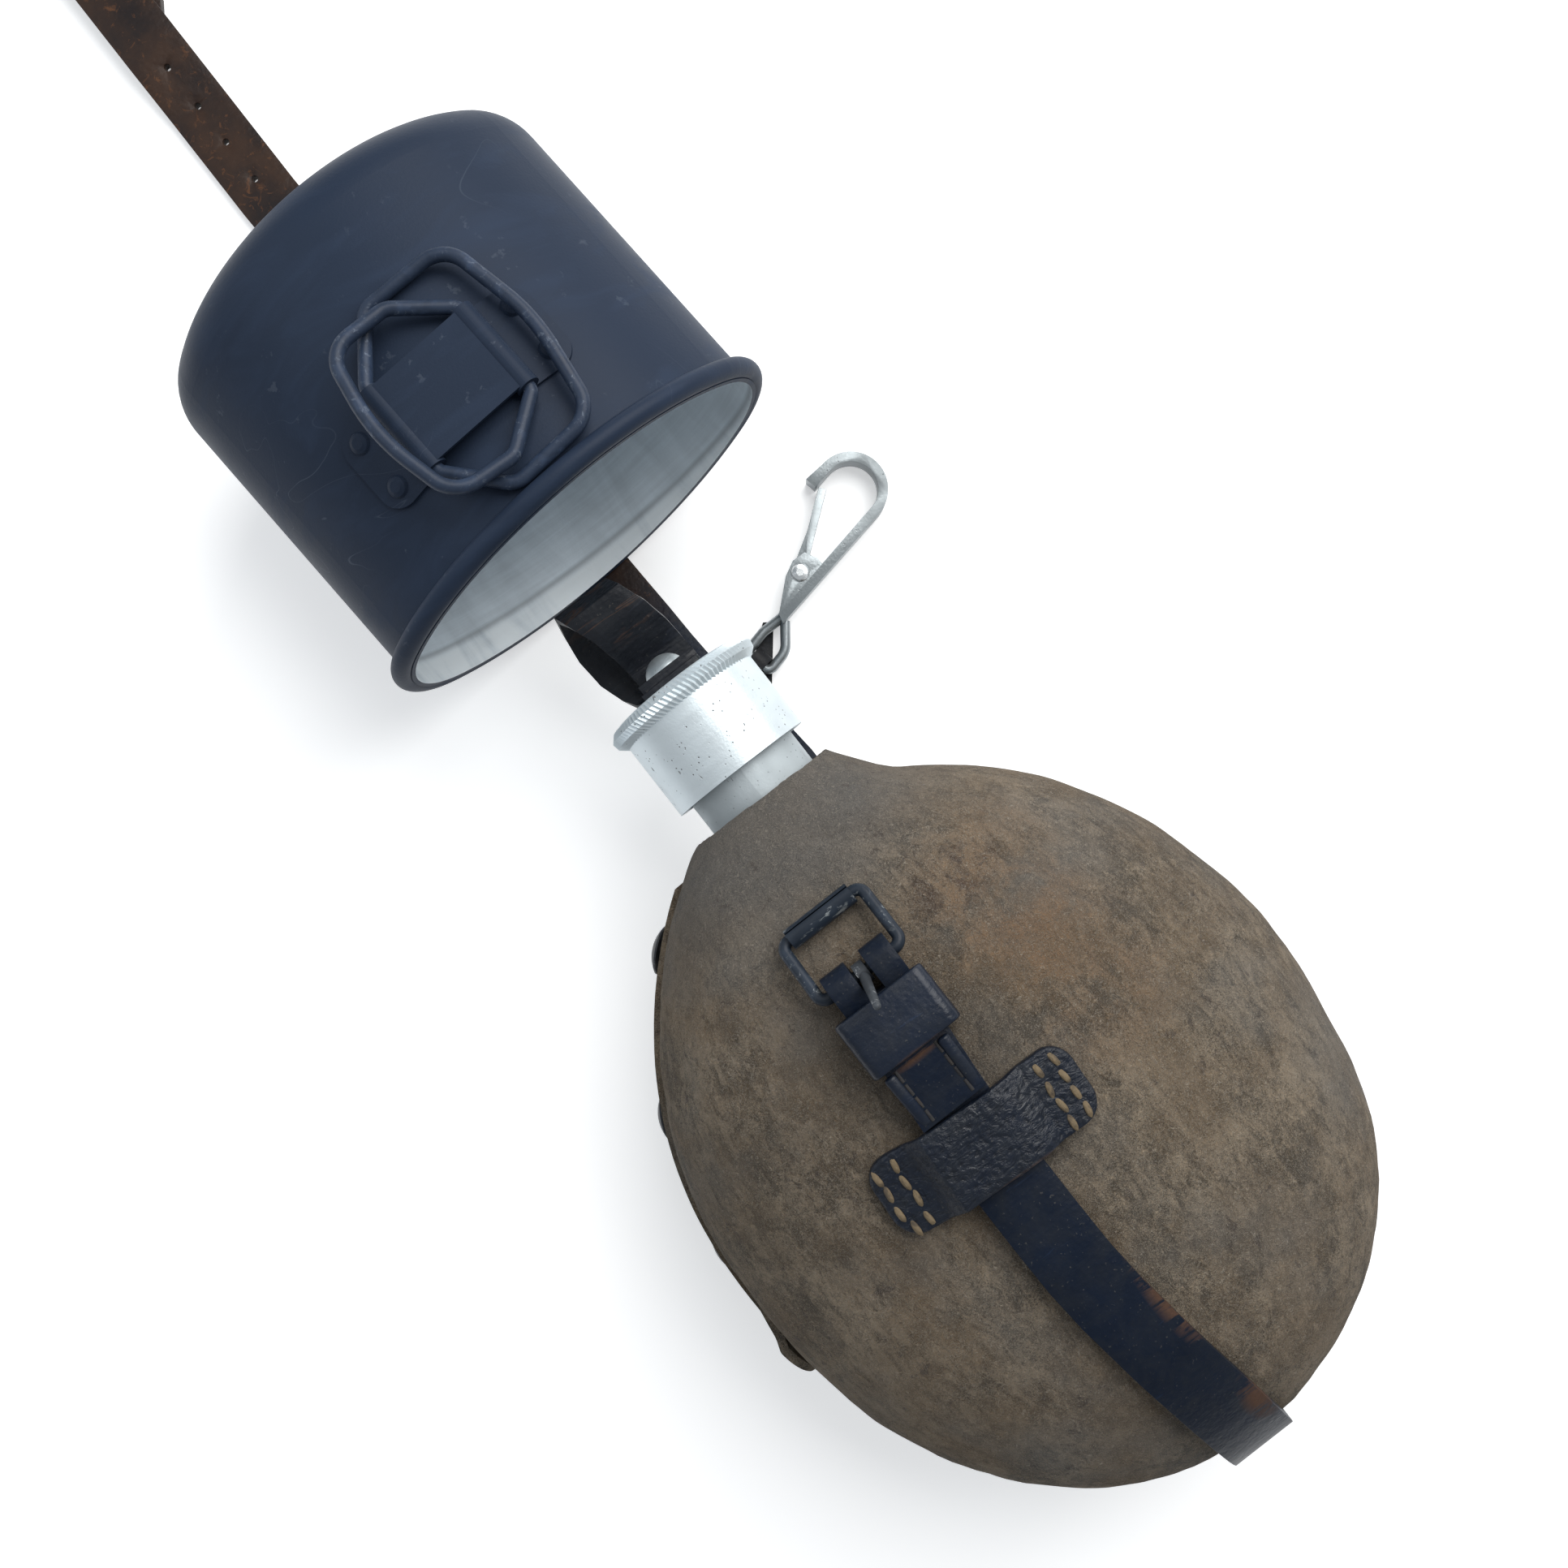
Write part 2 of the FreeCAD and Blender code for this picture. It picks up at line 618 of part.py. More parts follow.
def strap_line():
    """Centre line of the carrying strap: the lap, the fold round the buckle's bar, down the front,
    round the foot, along the ground behind the neck and under the cup, and the folded tail."""
    half = STRAP_THICK / 2
    points = []
    together = STRAP_THICK + STRAP_FIT
    apart = 2 * (BAR_R + BAR_FIT) + STRAP_THICK
    for y in (LAP_END_Y, 31.0, 36.0, 41.0, 45.0, 48.5, 51.5, 54.0):
        spread = together + (apart - together) * smooth((y - 49) / (BAR_Y - 49))
        points.append(over_front(y, front_lift(y) + half + spread))
    bar = bar_centre()
    out = front_normal(BAR_Y)
    ahead = vec(0, out.z, -out.y)
    wrap = BAR_R + BAR_FIT + half
    for angle in range(0, 181, 20):
        a = math.radians(angle)
        points.append(bar + (out * math.cos(a) + ahead * math.sin(a)) * wrap)
    for y in (53.5, 50.0, 45.0, 40.0, 35.0, 30.0, 24.0, 16.0, 7.0, -3.0, -13.0, -22.0):
        points.append(over_front(y, front_lift(y) + half))
    for angle in range(70, -86, -5):
        here = foot_profile(angle)
        run = (foot_profile(angle - 1) - foot_profile(angle + 1)).normalize()
        place = here + vec(0, run.z, -run.y) * (half + FOOT_FIT)
        place.x = strap_front_x(here.y) if angle > 0 else strap_back_x(here.y)
        points.append(place)
    for step in (-98, -78, -58, -38, -20, -8, 1, 8, 16, 24, 32, 41, 50, 59, 68, 77, 88, 101,
                 118, 136, 154, 172, 190, 206):
        y = SHOULDER_Y + step
        points.append(vec(strap_back_x(y), y, half - GROUND_BED + strap_lift(y)))
    stack = STRAP_THICK + 2 * STRAP_FIT
    for drop, rise in ((78, 0.05), (70, 0.5), (62, 1.0), (50, 1.08), (34, 1.2), (18, 1.45)):
        points.append(vec(STRAP_END_X, STRAP_FOLD_Y - drop, half + rise * stack))
    fold = STRAP_FOLD_Y - STRAP_FOLD_R - half
    for angle in range(90, -91, -20):
        a = math.radians(angle)
        spot = vec(STRAP_END_X, fold + STRAP_FOLD_R * math.cos(a), half + STRAP_FOLD_R * math.sin(a))
        points.append(spot + vec(0, 0, STRAP_FOLD_R))
    for y in (fold - 8, fold - 22, fold - 38, STRAP_TAIL_Y):
        shift = STRAP_TAIL_SHIFT * smooth((fold - y) / 30)
        points.append(vec(STRAP_END_X + shift, y, half))
    return points


def make_strap():
    """The one leather strap, with its prong slot, four tail holes and pointed tip."""
    points = strap_line()
    half = STRAP_THICK / 2
    stations = []
    length = 0.0
    for i, centre in enumerate(points):
        before = points[max(0, i - 1)]
        after = points[min(len(points) - 1, i + 1)]
        length += (centre - before).Length
        run = after - before
        run.x = 0
        run.normalize()
        stations.append((centre, vec(STRAP_WIDE / 2, 0, 0), vec(0, -run.z, run.y) * -half))
    strap = ribbon(stations)
    bar = bar_centre()
    slot = Part.makeBox(PRONG_SLOT_WIDE, 9.2, 16, vec(bar.x - PRONG_SLOT_WIDE / 2, BAR_Y - 3.4, bar.z - 8))
    cuts = [slot]
    for y in HOLE_YS:
        cuts.append(Part.makeCylinder(HOLE_R, 9, vec(STRAP_END_X, y, -1)))
    tip_x = points[-1].x
    wide = STRAP_WIDE / 2
    for side in (-1, 1):
        edge_x = tip_x + side * (wide + 1)
        corner = [vec(tip_x + side * 1.5, STRAP_TAIL_Y - 1, -1), vec(edge_x, STRAP_TAIL_Y - 1, -1),
                  vec(edge_x, STRAP_TAIL_Y + STRAP_POINT, -1)]
        cuts.append(prism(corner, vec(0, 0, STRAP_THICK + 1)))
    for cut in cuts:
        strap = strap.cut(cut)
    ground = Part.makeBox(4 * STRAP_WIDE, 2 * STRAP_FOLD_Y, 5, vec(-2 * STRAP_WIDE, 2 * FOOT_Y, -5))
    strap = strap.cut(ground)
    print("carrying strap length", round(length, 1))
    return keep("carrying_strap", strap)


def frame_pitch():
    """Slope of the buckle's frame, from the bar down to its roller resting on the felt."""
    bar = bar_centre()
    low, high = -60.0, 0.0
    for _ in range(30):
        pitch = (low + high) / 2
        y = bar.y + FRAME_REACH * math.cos(math.radians(pitch))
        z = bar.z + FRAME_REACH * math.sin(math.radians(pitch))
        gap = (z - crest(y)) * front_normal(y).z - ROLLER_R
        if gap > FELT_REST:
            high = pitch
        else:
            low = pitch
    return pitch


def framed(shape):
    """Move a shape drawn on the buckle's bar (reach along +Y) to its sloping place."""
    turn = FreeCAD.Rotation(vec(1, 0, 0), frame_pitch())
    return placed(shape, FreeCAD.Placement(bar_centre(), turn))


def make_buckle():
    """Wire frame, rolled sheet roller on its far bar, and the prong standing back on the keeper."""
    half = FRAME_WIDE / 2
    points = [vec(0, 0, 0), vec(half, 0, 0), vec(half, FRAME_REACH, 0), vec(-half, FRAME_REACH, 0),
              vec(-half, 0, 0), vec(0, 0, 0)]
    frame = rod(rounded_path(points, [FRAME_CORNER] * 4), BAR_R)
    keep("buckle_frame", framed(frame))
    start = vec(-ROLLER_LONG / 2, FRAME_REACH, 0)
    tube = Part.makeCylinder(ROLLER_R, ROLLER_LONG, start, vec(1, 0, 0))
    bore = Part.makeCylinder(BAR_R + ROLLER_FIT, ROLLER_LONG + 2, start - vec(1, 0, 0), vec(1, 0, 0))
    tube = tube.cut(bore)
    slit = Part.makeBox(ROLLER_LONG + 2, ROLLER_SLIT, ROLLER_R + 1,
                        vec(-ROLLER_LONG / 2 - 1, FRAME_REACH + 0.6, 0))
    keep("buckle_roller", framed(tube.cut(slit)))
    eye_r = BAR_R + ROLLER_FIT
    eye = Part.makeCylinder(eye_r + 1.0, 2.4, vec(-1.2, 0, 0), vec(1, 0, 0))
    side = math.radians(PRONG_SKEW)
    shank_way = vec(math.sin(side), 0, math.cos(side))
    shank = Part.makeCone(PRONG_R * 1.15, PRONG_R * 0.8, PRONG_LONG - 1.6, shank_way * 1.6, shank_way)
    shank = shank.fuse(Part.makeSphere(PRONG_R * 0.8, shank_way * PRONG_LONG))
    prong = eye.fuse(shank).cut(Part.makeCylinder(eye_r, 4, vec(-2, 0, 0), vec(1, 0, 0)))
    place = FreeCAD.Placement(bar_centre(), FreeCAD.Rotation(vec(1, 0, 0), PRONG_LEAN))
    return keep("buckle_prong", placed(prong, place))


def rounded_box(half_x, low, high, corner, start, depth):
    """Rounded rectangle in X and Z, pushed along Y."""
    box = Part.makeBox(2 * half_x, depth, high - low, vec(-half_x, start, low))
    edges = [edge for edge in box.Edges if abs(edge.tangentAt(edge.FirstParameter).y) > 0.99]
    return box.makeFillet(corner, edges)


def make_keeper():
    """Leather band round both layers of the strap."""
    low = front_lift(KEEPER_Y) - KEEPER_FIT
    high = low + 2 * STRAP_THICK + STRAP_FIT + 2 * KEEPER_FIT + 0.6
    inner_half = STRAP_WIDE / 2 + 2 * KEEPER_FIT
    start = -KEEPER_LONG / 2
    outer = rounded_box(inner_half + KEEPER_THICK, low - KEEPER_UNDER, high + KEEPER_THICK, KEEPER_ROUND,
                        start, KEEPER_LONG)
    inner = rounded_box(inner_half, low, high, 0.6, start - 1, KEEPER_LONG + 2)
    out = front_normal(KEEPER_Y)
    turn = FreeCAD.Rotation(vec(0, 0, 1), out)
    place = FreeCAD.Placement(over_front(KEEPER_Y, 0), turn)
    return keep("strap_keeper", placed(outer.cut(inner), place))


def make_cross_loop():
    """Leather loop across the strap, lying on the felt at both ends, with rounded corners."""
    turn = math.radians(CROSS_TURN)
    along = vec(math.cos(turn), math.sin(turn), 0)
    strap_x = strap_front_x(CROSS_Y)
    over = STRAP_THICK + STRAP_FIT
    stations = []
    count = 14
    for i in range(count + 1):
        place = vec(CROSS_X, CROSS_Y, 0) + along * (CROSS_LONG * (i / count - 0.5))
        away = abs(place.x - strap_x) - STRAP_WIDE / 2
        over_strap = 1 - smooth((away - 0.9) / 5.5)
        felt = felt_front(place.x, place.y)
        rise = CROSS_THICK / 2 + 0.35 + (over + crest(place.y) - felt) * over_strap
        side = vec(-along.y, along.x, 0) * (CROSS_WIDE / 2)
        slope = (felt_front(place.x, place.y + 4) - felt_front(place.x, place.y - 4)) / 8
        side.z = slope * side.y
        place.z = felt + rise
        normal = vec(0, 0, CROSS_THICK / 2)
        stations.append((place, side, normal))
    loop = ribbon(stations)
    plate = rounded_box(CROSS_LONG / 2, -CROSS_WIDE / 2, CROSS_WIDE / 2, CROSS_CORNER, -20, 40)
    place = FreeCAD.Placement(vec(CROSS_X, CROSS_Y, felt_front(CROSS_X, CROSS_Y)),
                              FreeCAD.Rotation(vec(0, 0, 1), CROSS_TURN))
    place = place * FreeCAD.Placement(vec(0, 0, 0), FreeCAD.Rotation(vec(1, 0, 0), 90))
    return keep("cross_loop", loop.common(placed(plate, place)))


def hooked(shape):
    """Move a shape drawn along the hook to its place beside the cap."""
    turn = FreeCAD.Rotation(vec(0, 0, 1), HOOK_TURN)
    return placed(shape, FreeCAD.Placement(vec(HOOK_X, HOOK_Y, 0), turn))


def plan(points, low, high):
    return prism([vec(u, v, low) for u, v in points], vec(0, 0, high - low))


def make_hook():
    """Spring snap hook: wire eye, bent strip bow, two cheeks, and the gate on its rivet."""
    low = HOOK_Z - HOOK_TALL / 2
    high = HOOK_Z + HOOK_TALL / 2
    half = HOOK_STRIP / 2
    back = HOOK_BACK_V
    eye_top = EYE_MID + EYE_HALF
    eye_low = EYE_MID - EYE_HALF
    eye_points = [vec(WAIST, back + 0.2, HOOK_Z), vec(6.5, eye_top + 0.3, HOOK_Z),
                  vec(0, eye_top, HOOK_Z), vec(0, eye_low, HOOK_Z), vec(6.5, eye_low + 0.3, HOOK_Z),
                  vec(WAIST, back - 1.0, HOOK_Z)]
    eye = rod(rounded_path(eye_points, [5.0, 1.7, 1.7, 5.0]), EYE_BAR_R)
    front = WAIST + 3.2
    block = [(WAIST - 1, back - half), (WAIST, back + 1), (front, back + 2.9), (front, back - half)]
    block = plan(block, low, high)
    cheek = [(WAIST - 1, back - half), (WAIST, back + 1), (20, 8.8), (24, 10), (27.4, 9.2), (28.4, 6),
             (27.8, back - half)]
    cheeks = plan(cheek, low, low + CHEEK_THICK).fuse(plan(cheek, high - CHEEK_THICK, high))
    bend = HOOK_BEND_R
    top = back + 2 * bend
    run = HOOK_RUN

    def bow_edge(radius):
        inner = back + bend - radius
        outer = back + bend + radius
        middle = vec(run + radius, back + bend, low)
        return inner, outer, arc(vec(run, inner, low), middle, vec(run, outer, low))

    in_low, in_top, in_arc = bow_edge(bend - half)
    out_low, out_top, out_arc = bow_edge(bend + half)
    outline = Part.Wire([
        line(vec(WAIST, out_low, low), vec(run, out_low, low)), out_arc,
        line(vec(run, out_top, low), vec(HOOK_TIP, out_top + 0.6, low)),
        line(vec(HOOK_TIP, out_top + 0.6, low), vec(HOOK_TIP, in_top, low)),
        line(vec(HOOK_TIP, in_top, low), vec(run, in_top, low)), in_arc,
        line(vec(run, in_low, low), vec(WAIST, in_low, low)),
        line(vec(WAIST, in_low, low), vec(WAIST, out_low, low))])
    bow = Part.Face(outline).extrude(vec(0, 0, HOOK_TALL))
    bore = Part.makeCylinder(PIVOT_R + 0.02, HOOK_TALL + 2, vec(PIVOT_U, PIVOT_V, low - 1))
    keep("hook_body", hooked(eye.fuse(block).fuse(bow).fuse(cheeks).cut(bore)))
    gate_low = low + CHEEK_THICK + GATE_FIT
    gate_high = high - CHEEK_THICK - GATE_FIT
    tall = gate_high - gate_low
    knuckle = Part.makeCylinder(KNUCKLE_R, tall, vec(0, 0, gate_low))
    under = -GATE_WIDE / 2
    lever = [(0, under), (GATE_LONG * 0.55, under + 0.3), (GATE_LONG, under + 0.4), (GATE_LONG, -under),
             (GATE_LONG * 0.5, -under - 0.2), (0, KNUCKLE_R)]
    gate = knuckle.fuse(plan(lever, gate_low, gate_high))
    gate = gate.cut(Part.makeCylinder(PIVOT_R + PIVOT_FIT, tall + 2, vec(0, 0, gate_low - 1)))
    place = FreeCAD.Placement(vec(PIVOT_U, PIVOT_V, 0), FreeCAD.Rotation(vec(0, 0, 1), GATE_TURN))
    keep("hook_gate", hooked(placed(gate, place)))
    pin = Part.makeCylinder(PIVOT_R, HOOK_TALL + 0.1, vec(PIVOT_U, PIVOT_V, low - 0.02))
    seat = high + 0.02
    dome = [(0, seat), (PIVOT_HEAD_R, seat), (PIVOT_HEAD_R * 0.8, seat + PIVOT_HEAD_HIGH * 0.7),
            (PIVOT_HEAD_R * 0.4, seat + PIVOT_HEAD_HIGH), (0, seat + PIVOT_HEAD_HIGH)]
    crown = turned_up(dome, PIVOT_U, PIVOT_V)
    keep("hook_rivet", hooked(pin.fuse(crown)))
    leaf_foot = back + half
    tip = front + LEAF_LONG
    bend_u = front + LEAF_THICK
    leaf = [(front, leaf_foot), (tip, leaf_foot), (tip, leaf_foot + LEAF_THICK),
            (bend_u, leaf_foot + LEAF_THICK), (bend_u, leaf_foot + 1.6), (front, leaf_foot + 1.6)]
    return keep("hook_spring", hooked(plan(leaf, gate_low + 0.2, gate_high - 0.2)))


def turned_up(profile, axis_x, axis_y):
    """Body of revolution about an upright axis; the profile is a list of (radius, z)."""
    points = [vec(axis_x + r, axis_y, z) for r, z in profile]
    face = Part.Face(Part.makePolygon(points + [points[0]]))
    return face.revolve(vec(axis_x, axis_y, 0), vec(0, 0, 1), 360)


def make_hook_tie():
    """Leather tie: a band round the strap that narrows to hold the eye's end bar, with a tongue
    lying under the eye."""
    inner = EYE_BAR_R + EYE_FIT
    outer = inner + TIE_THICK
    left = -23.8
    half = TIE_WIDE / 2

    def stadium(radius, depth):
        start = EYE_MID - depth / 2
        body = Part.makeBox(-left, depth, 2 * radius, vec(left, start, HOOK_Z - radius))
        for u in (left, 0):
            body = body.fuse(Part.makeCylinder(radius, depth, vec(u, start, HOOK_Z), vec(0, 1, 0)))
        return body

    band = stadium(outer, TIE_WIDE).cut(stadium(inner, TIE_WIDE + 2))
    narrow = TIE_NARROW / 2
    mid = EYE_MID
    shape = [(left - 5, mid - half), (-7, mid - half), (-3, mid - narrow), (5, mid - narrow),
             (5, mid + narrow), (-3, mid + narrow), (-7, mid + half), (left - 5, mid + half)]
    band = band.common(plan(shape, -1, 12))
    tongue = [(-8.5, -9.3), (-2.6, -6.5), (10.1, 4.1), (8.3, 6.0), (-3.1, 0.1), (-9.0, -3.0)]
    tongue = plan(tongue, 0, TIE_THICK)
    return keep("hook_tie", hooked(band.fuse(tongue)))


def oval(inset, y):
    """Oval outline of the cup at y: two flat arcs joined by two side arcs, all tangent."""
    wide = CUP_HALF_WIDTH - inset
    tall = CUP_HALF_HIGH - inset
    side_r = CUP_SIDE_R - inset
    a = wide - side_r
    big_r = (a * a + tall * tall - side_r * side_r) / (2 * (tall - side_r))
    b = big_r - tall
    px = a * big_r / (big_r - side_r)
    pz = b * big_r / (big_r - side_r) - b
    return Part.Wire([arc(vec(-px, y, pz), vec(0, y, tall), vec(px, y, pz)),
                      arc(vec(px, y, pz), vec(wide, y, 0), vec(px, y, -pz)),
                      arc(vec(px, y, -pz), vec(0, y, -tall), vec(-px, y, -pz)),
                      arc(vec(-px, y, -pz), vec(-wide, y, 0), vec(-px, y, pz))])


def cup_tilt():
    """Lift of the mouth: the bead rests on the raised strap, the closed end on the flat strap."""
    span = CUP_LONG - CUP_CORNER
    return math.degrees(math.asin((CUP_LIFT + BEAD_OUT + BEAD_R) / span))


def cup_place():
    tilt = cup_tilt()
    t = math.radians(tilt)
    bead = CUP_HALF_HIGH + BEAD_OUT + BEAD_R
    height = STRAP_THICK + CUP_LIFT + CUP_SEAT + bead * math.cos(t) + BEAD_R * math.sin(t)
    turn = FreeCAD.Rotation(vec(0, 0, 1), CUP_YAW) * FreeCAD.Rotation(vec(1, 0, 0), -tilt)
    return FreeCAD.Placement(vec(CUP_X, CUP_Y, height), turn)


def on_cup(shape):
    return placed(shape, cup_place())


def end_fillet(solid, y, radius):
    edges = []
    for edge in solid.Edges:
        if abs(edge.BoundBox.YMin - y) < 0.01 and abs(edge.BoundBox.YMax - y) < 0.01:
            edges.append(edge)
    return solid.makeFillet(radius, edges)


def rivet_places():
    """Centre, on the cup's skin, and lean in degrees of each bracket rivet."""
    radius = CUP_FLAT_R
    centre_z = CUP_HALF_HIGH - radius
    places = []
    for side in (-1, 1):
        x = BRACKET_X + side * PLATE_RIVET_X
        lean = math.degrees(math.asin(x / radius))
        z = centre_z + radius * math.cos(math.radians(lean))
        for end in (-1, 1):
            places.append((vec(x, BRACKET_Y + end * PLATE_RIVET_PITCH / 2, z), lean))
    return places


def leaned(shape, spot, lean):
    turn = FreeCAD.Rotation(vec(0, 1, 0), lean)
    return placed(shape, FreeCAD.Placement(spot, turn))


def make_cup():
    """Deep-drawn oval cup with a rounded closed end and a rolled bead at the mouth."""
    body = Part.Face(oval(0, 0)).extrude(vec(0, CUP_LONG, 0))
    body = end_fillet(body, CUP_LONG, CUP_CORNER)
    bead = rod(oval(-BEAD_OUT, BEAD_R).Edges, BEAD_R)
    body = body.fuse(bead)
    deep = CUP_LONG - CUP_WALL
    hollow = Part.Face(oval(CUP_WALL, 1)).extrude(vec(0, deep - 1, 0))
    hollow = end_fillet(hollow, deep, CUP_CORNER - CUP_WALL)
    mouth = Part.Face(oval(CUP_WALL, -3)).extrude(vec(0, 6, 0))
    body = body.cut(hollow).cut(mouth)
    for spot, lean in rivet_places():
        hole = Part.makeCylinder(PLATE_RIVET_R + PLATE_FIT, 6, vec(0, 0, -3))
        body = body.cut(leaned(hole, spot, lean))
    return keep("cup", on_cup(body))


def make_bracket():
    """One bent plate: two riveted wings, two hinge tubes and the raised bridge between them."""
    radius = CUP_FLAT_R
    centre = vec(0, BRACKET_Y - BRACKET_LONG, CUP_HALF_HIGH - radius)
    long = 2 * BRACKET_LONG
    ring = Part.makeCylinder(radius + PLATE_THICK + PLATE_FIT, long, centre, vec(0, 1, 0))
    ring = ring.cut(Part.makeCylinder(radius + PLATE_FIT, long, centre, vec(0, 1, 0)))
    low = BRACKET_Y - BRACKET_LONG / 2
    sheet = rounded_box(BRACKET_HALF, 0, BRACKET_LONG, PLATE_CORNER, 0, 20)
    place = FreeCAD.Placement(vec(BRACKET_X, low + BRACKET_LONG, CUP_HALF_HIGH - 10),
                              FreeCAD.Rotation(vec(1, 0, 0), 90))
    wings = ring.common(placed(sheet, place))
    middle = Part.makeBox(2 * HINGE_X, long, 20, vec(BRACKET_X - HINGE_X, low - 5, CUP_HALF_HIGH - 10))
    bracket = wings.cut(middle)
    bridge_half = HINGE_X - 0.9
    bridge = Part.makeBox(2 * bridge_half, BRACKET_LONG - 0.8, PLATE_THICK,
                          vec(BRACKET_X - bridge_half, low + 0.4, HINGE_Z + TUBE_R - PLATE_THICK - 0.35))
    bracket = bracket.fuse(bridge)
    for side in (-1, 1):
        foot = vec(BRACKET_X + side * HINGE_X, low, HINGE_Z)
        tube = Part.makeCylinder(TUBE_R, BRACKET_LONG, foot, vec(0, 1, 0))
        bracket = bracket.fuse(tube)
    for side in (-1, 1):
        bore = Part.makeCylinder(WIRE_R + WIRE_FIT, BRACKET_LONG + 2,
                                 vec(BRACKET_X + side * HINGE_X, low - 1, HINGE_Z), vec(0, 1, 0))
        bracket = bracket.cut(bore)
    skin = Part.makeCylinder(radius + PLATE_FIT, long, centre, vec(0, 1, 0))
    bracket = bracket.cut(skin)
    for spot, lean in rivet_places():
        hole = Part.makeCylinder(PLATE_RIVET_R + PLATE_FIT, 6, vec(0, 0, -3))
        bracket = bracket.cut(leaned(hole, spot, lean))
    return keep("cup_bracket", on_cup(bracket))


def make_cup_rivets():
    """Four rivets: domed head on the wing, shank through wing and wall, flat head inside."""
    top = PLATE_FIT + PLATE_THICK + 0.01
    inside = -CUP_WALL - 0.06
    head = PLATE_RIVET_HEAD_R
    high = PLATE_RIVET_HIGH
    profile = [(0, inside - 0.8), (head * 0.75, inside - 0.8), (head * 0.9, inside), (PLATE_RIVET_R, inside),
               (PLATE_RIVET_R, top), (head, top), (head * 0.85, top + high * 0.6), (head * 0.5, top + high),
               (0, top + high)]
    solids = []
    for spot, lean in rivet_places():
        solids.append(on_cup(leaned(turned_up(profile, 0, 0), spot, lean)))
    return keep("cup_rivets", Part.makeCompound(solids))


def handle_shape(reach, half, splay):
    """Wire handle lying along +X from its hinge, both ends meeting inside the tube."""
    tube = BRACKET_LONG / 2 + 0.9
    corner = reach - HANDLE_BOW
    points = [vec(0, HANDLE_GAP, 0), vec(0, tube, 0), vec(splay, half, 0), vec(corner, half - 0.6, 0),
              vec(reach + 0.4, 0, 0), vec(corner, 0.6 - half, 0), vec(splay, -half, 0),
              vec(0, -tube, 0), vec(0, -HANDLE_GAP, 0)]
    bends = [2.2, 4.0, HANDLE_CORNER, 40.0, HANDLE_CORNER, 4.0, 2.2]
    return rod(rounded_path(points, bends), WIRE_R)


def make_handles():
    outer = handle_shape(OUTER_REACH, OUTER_HALF, OUTER_SPLAY)
    place = FreeCAD.Placement(vec(BRACKET_X - HINGE_X, BRACKET_Y, HINGE_Z), FreeCAD.Rotation())
    keep("outer_handle", on_cup(placed(outer, place)))
    inner = handle_shape(INNER_REACH, INNER_HALF, INNER_SPLAY)
    turn = FreeCAD.Rotation(vec(0, 1, 0), INNER_TILT) * FreeCAD.Rotation(vec(0, 0, 1), 180)
    place = FreeCAD.Placement(vec(BRACKET_X + HINGE_X, BRACKET_Y, HINGE_Z), turn)
    return keep("inner_handle", on_cup(placed(inner, place)))


def build():
    make_flask()
    make_cover()
    make_side_flap()
    make_snaps()
    make_cap()
    make_gasket()
    make_cap_washer()
    loop, seat = make_cap_loop()
    make_cap_rivet(seat)
    make_strap()
    make_buckle()
    make_keeper()
    make_cross_loop()
    make_hook()
    make_hook_tie()
    make_cup()
    make_bracket()
    make_cup_rivets()
    make_handles()


def main():
    build()
    os.makedirs("parts", exist_ok=True)
    for name, shape in PARTS.items():
        shape.exportStep(os.path.join("parts", name + ".step"))
    print(len(PARTS), "pieces")


if __name__ == "__main__":
    main()
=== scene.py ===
import math
import random

import bpy
from mathutils import Matrix, Vector
from mathutils.bvhtree import BVHTree


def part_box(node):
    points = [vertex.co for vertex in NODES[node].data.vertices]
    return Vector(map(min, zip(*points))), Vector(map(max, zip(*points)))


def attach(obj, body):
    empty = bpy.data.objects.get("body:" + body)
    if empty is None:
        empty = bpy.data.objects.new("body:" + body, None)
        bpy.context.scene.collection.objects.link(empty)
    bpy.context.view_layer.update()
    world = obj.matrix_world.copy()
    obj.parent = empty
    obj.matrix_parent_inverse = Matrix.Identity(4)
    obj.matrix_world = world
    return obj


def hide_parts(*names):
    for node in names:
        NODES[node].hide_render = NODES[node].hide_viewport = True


bl_info = {
    "name": "Felt Field Flask",
    "version": (1, 0, 0),
    "blender": (4, 5, 0),
    "location": "View3D > Sidebar > Field Flask",
    "description": "Dresses the field flask, its strap, snap hook and drinking cup",
    "category": "Object",
}

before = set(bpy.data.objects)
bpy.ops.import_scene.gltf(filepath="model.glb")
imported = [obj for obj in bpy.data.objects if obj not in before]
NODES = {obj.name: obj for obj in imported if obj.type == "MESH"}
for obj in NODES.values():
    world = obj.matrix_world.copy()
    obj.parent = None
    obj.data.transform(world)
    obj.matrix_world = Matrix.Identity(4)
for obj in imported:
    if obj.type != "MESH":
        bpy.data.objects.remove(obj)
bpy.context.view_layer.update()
MM = 0.001

# Places read from the frame
CAP_LOW, CAP_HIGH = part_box("cap")
NECK_Z = (CAP_LOW.z + CAP_HIGH.z) / 2
COVER_LOW, COVER_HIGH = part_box("felt_cover")
CROSS_LOW, CROSS_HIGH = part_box("cross_loop")
CUP_LOW, CUP_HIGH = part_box("cup")

# The camera looks straight down on the object, turned so that the flask lies to the lower right
CAMERA_AT = Vector((5.3, 94.5, 360.0)) * MM
CAMERA_TURN = math.radians(-38.0)
CAMERA_SENSOR = 36.0
FOCAL_PIXELS = 1800.0
FRAME_PIXELS = 1932.0
CAMERA_LENS = CAMERA_SENSOR * FOCAL_PIXELS / FRAME_PIXELS

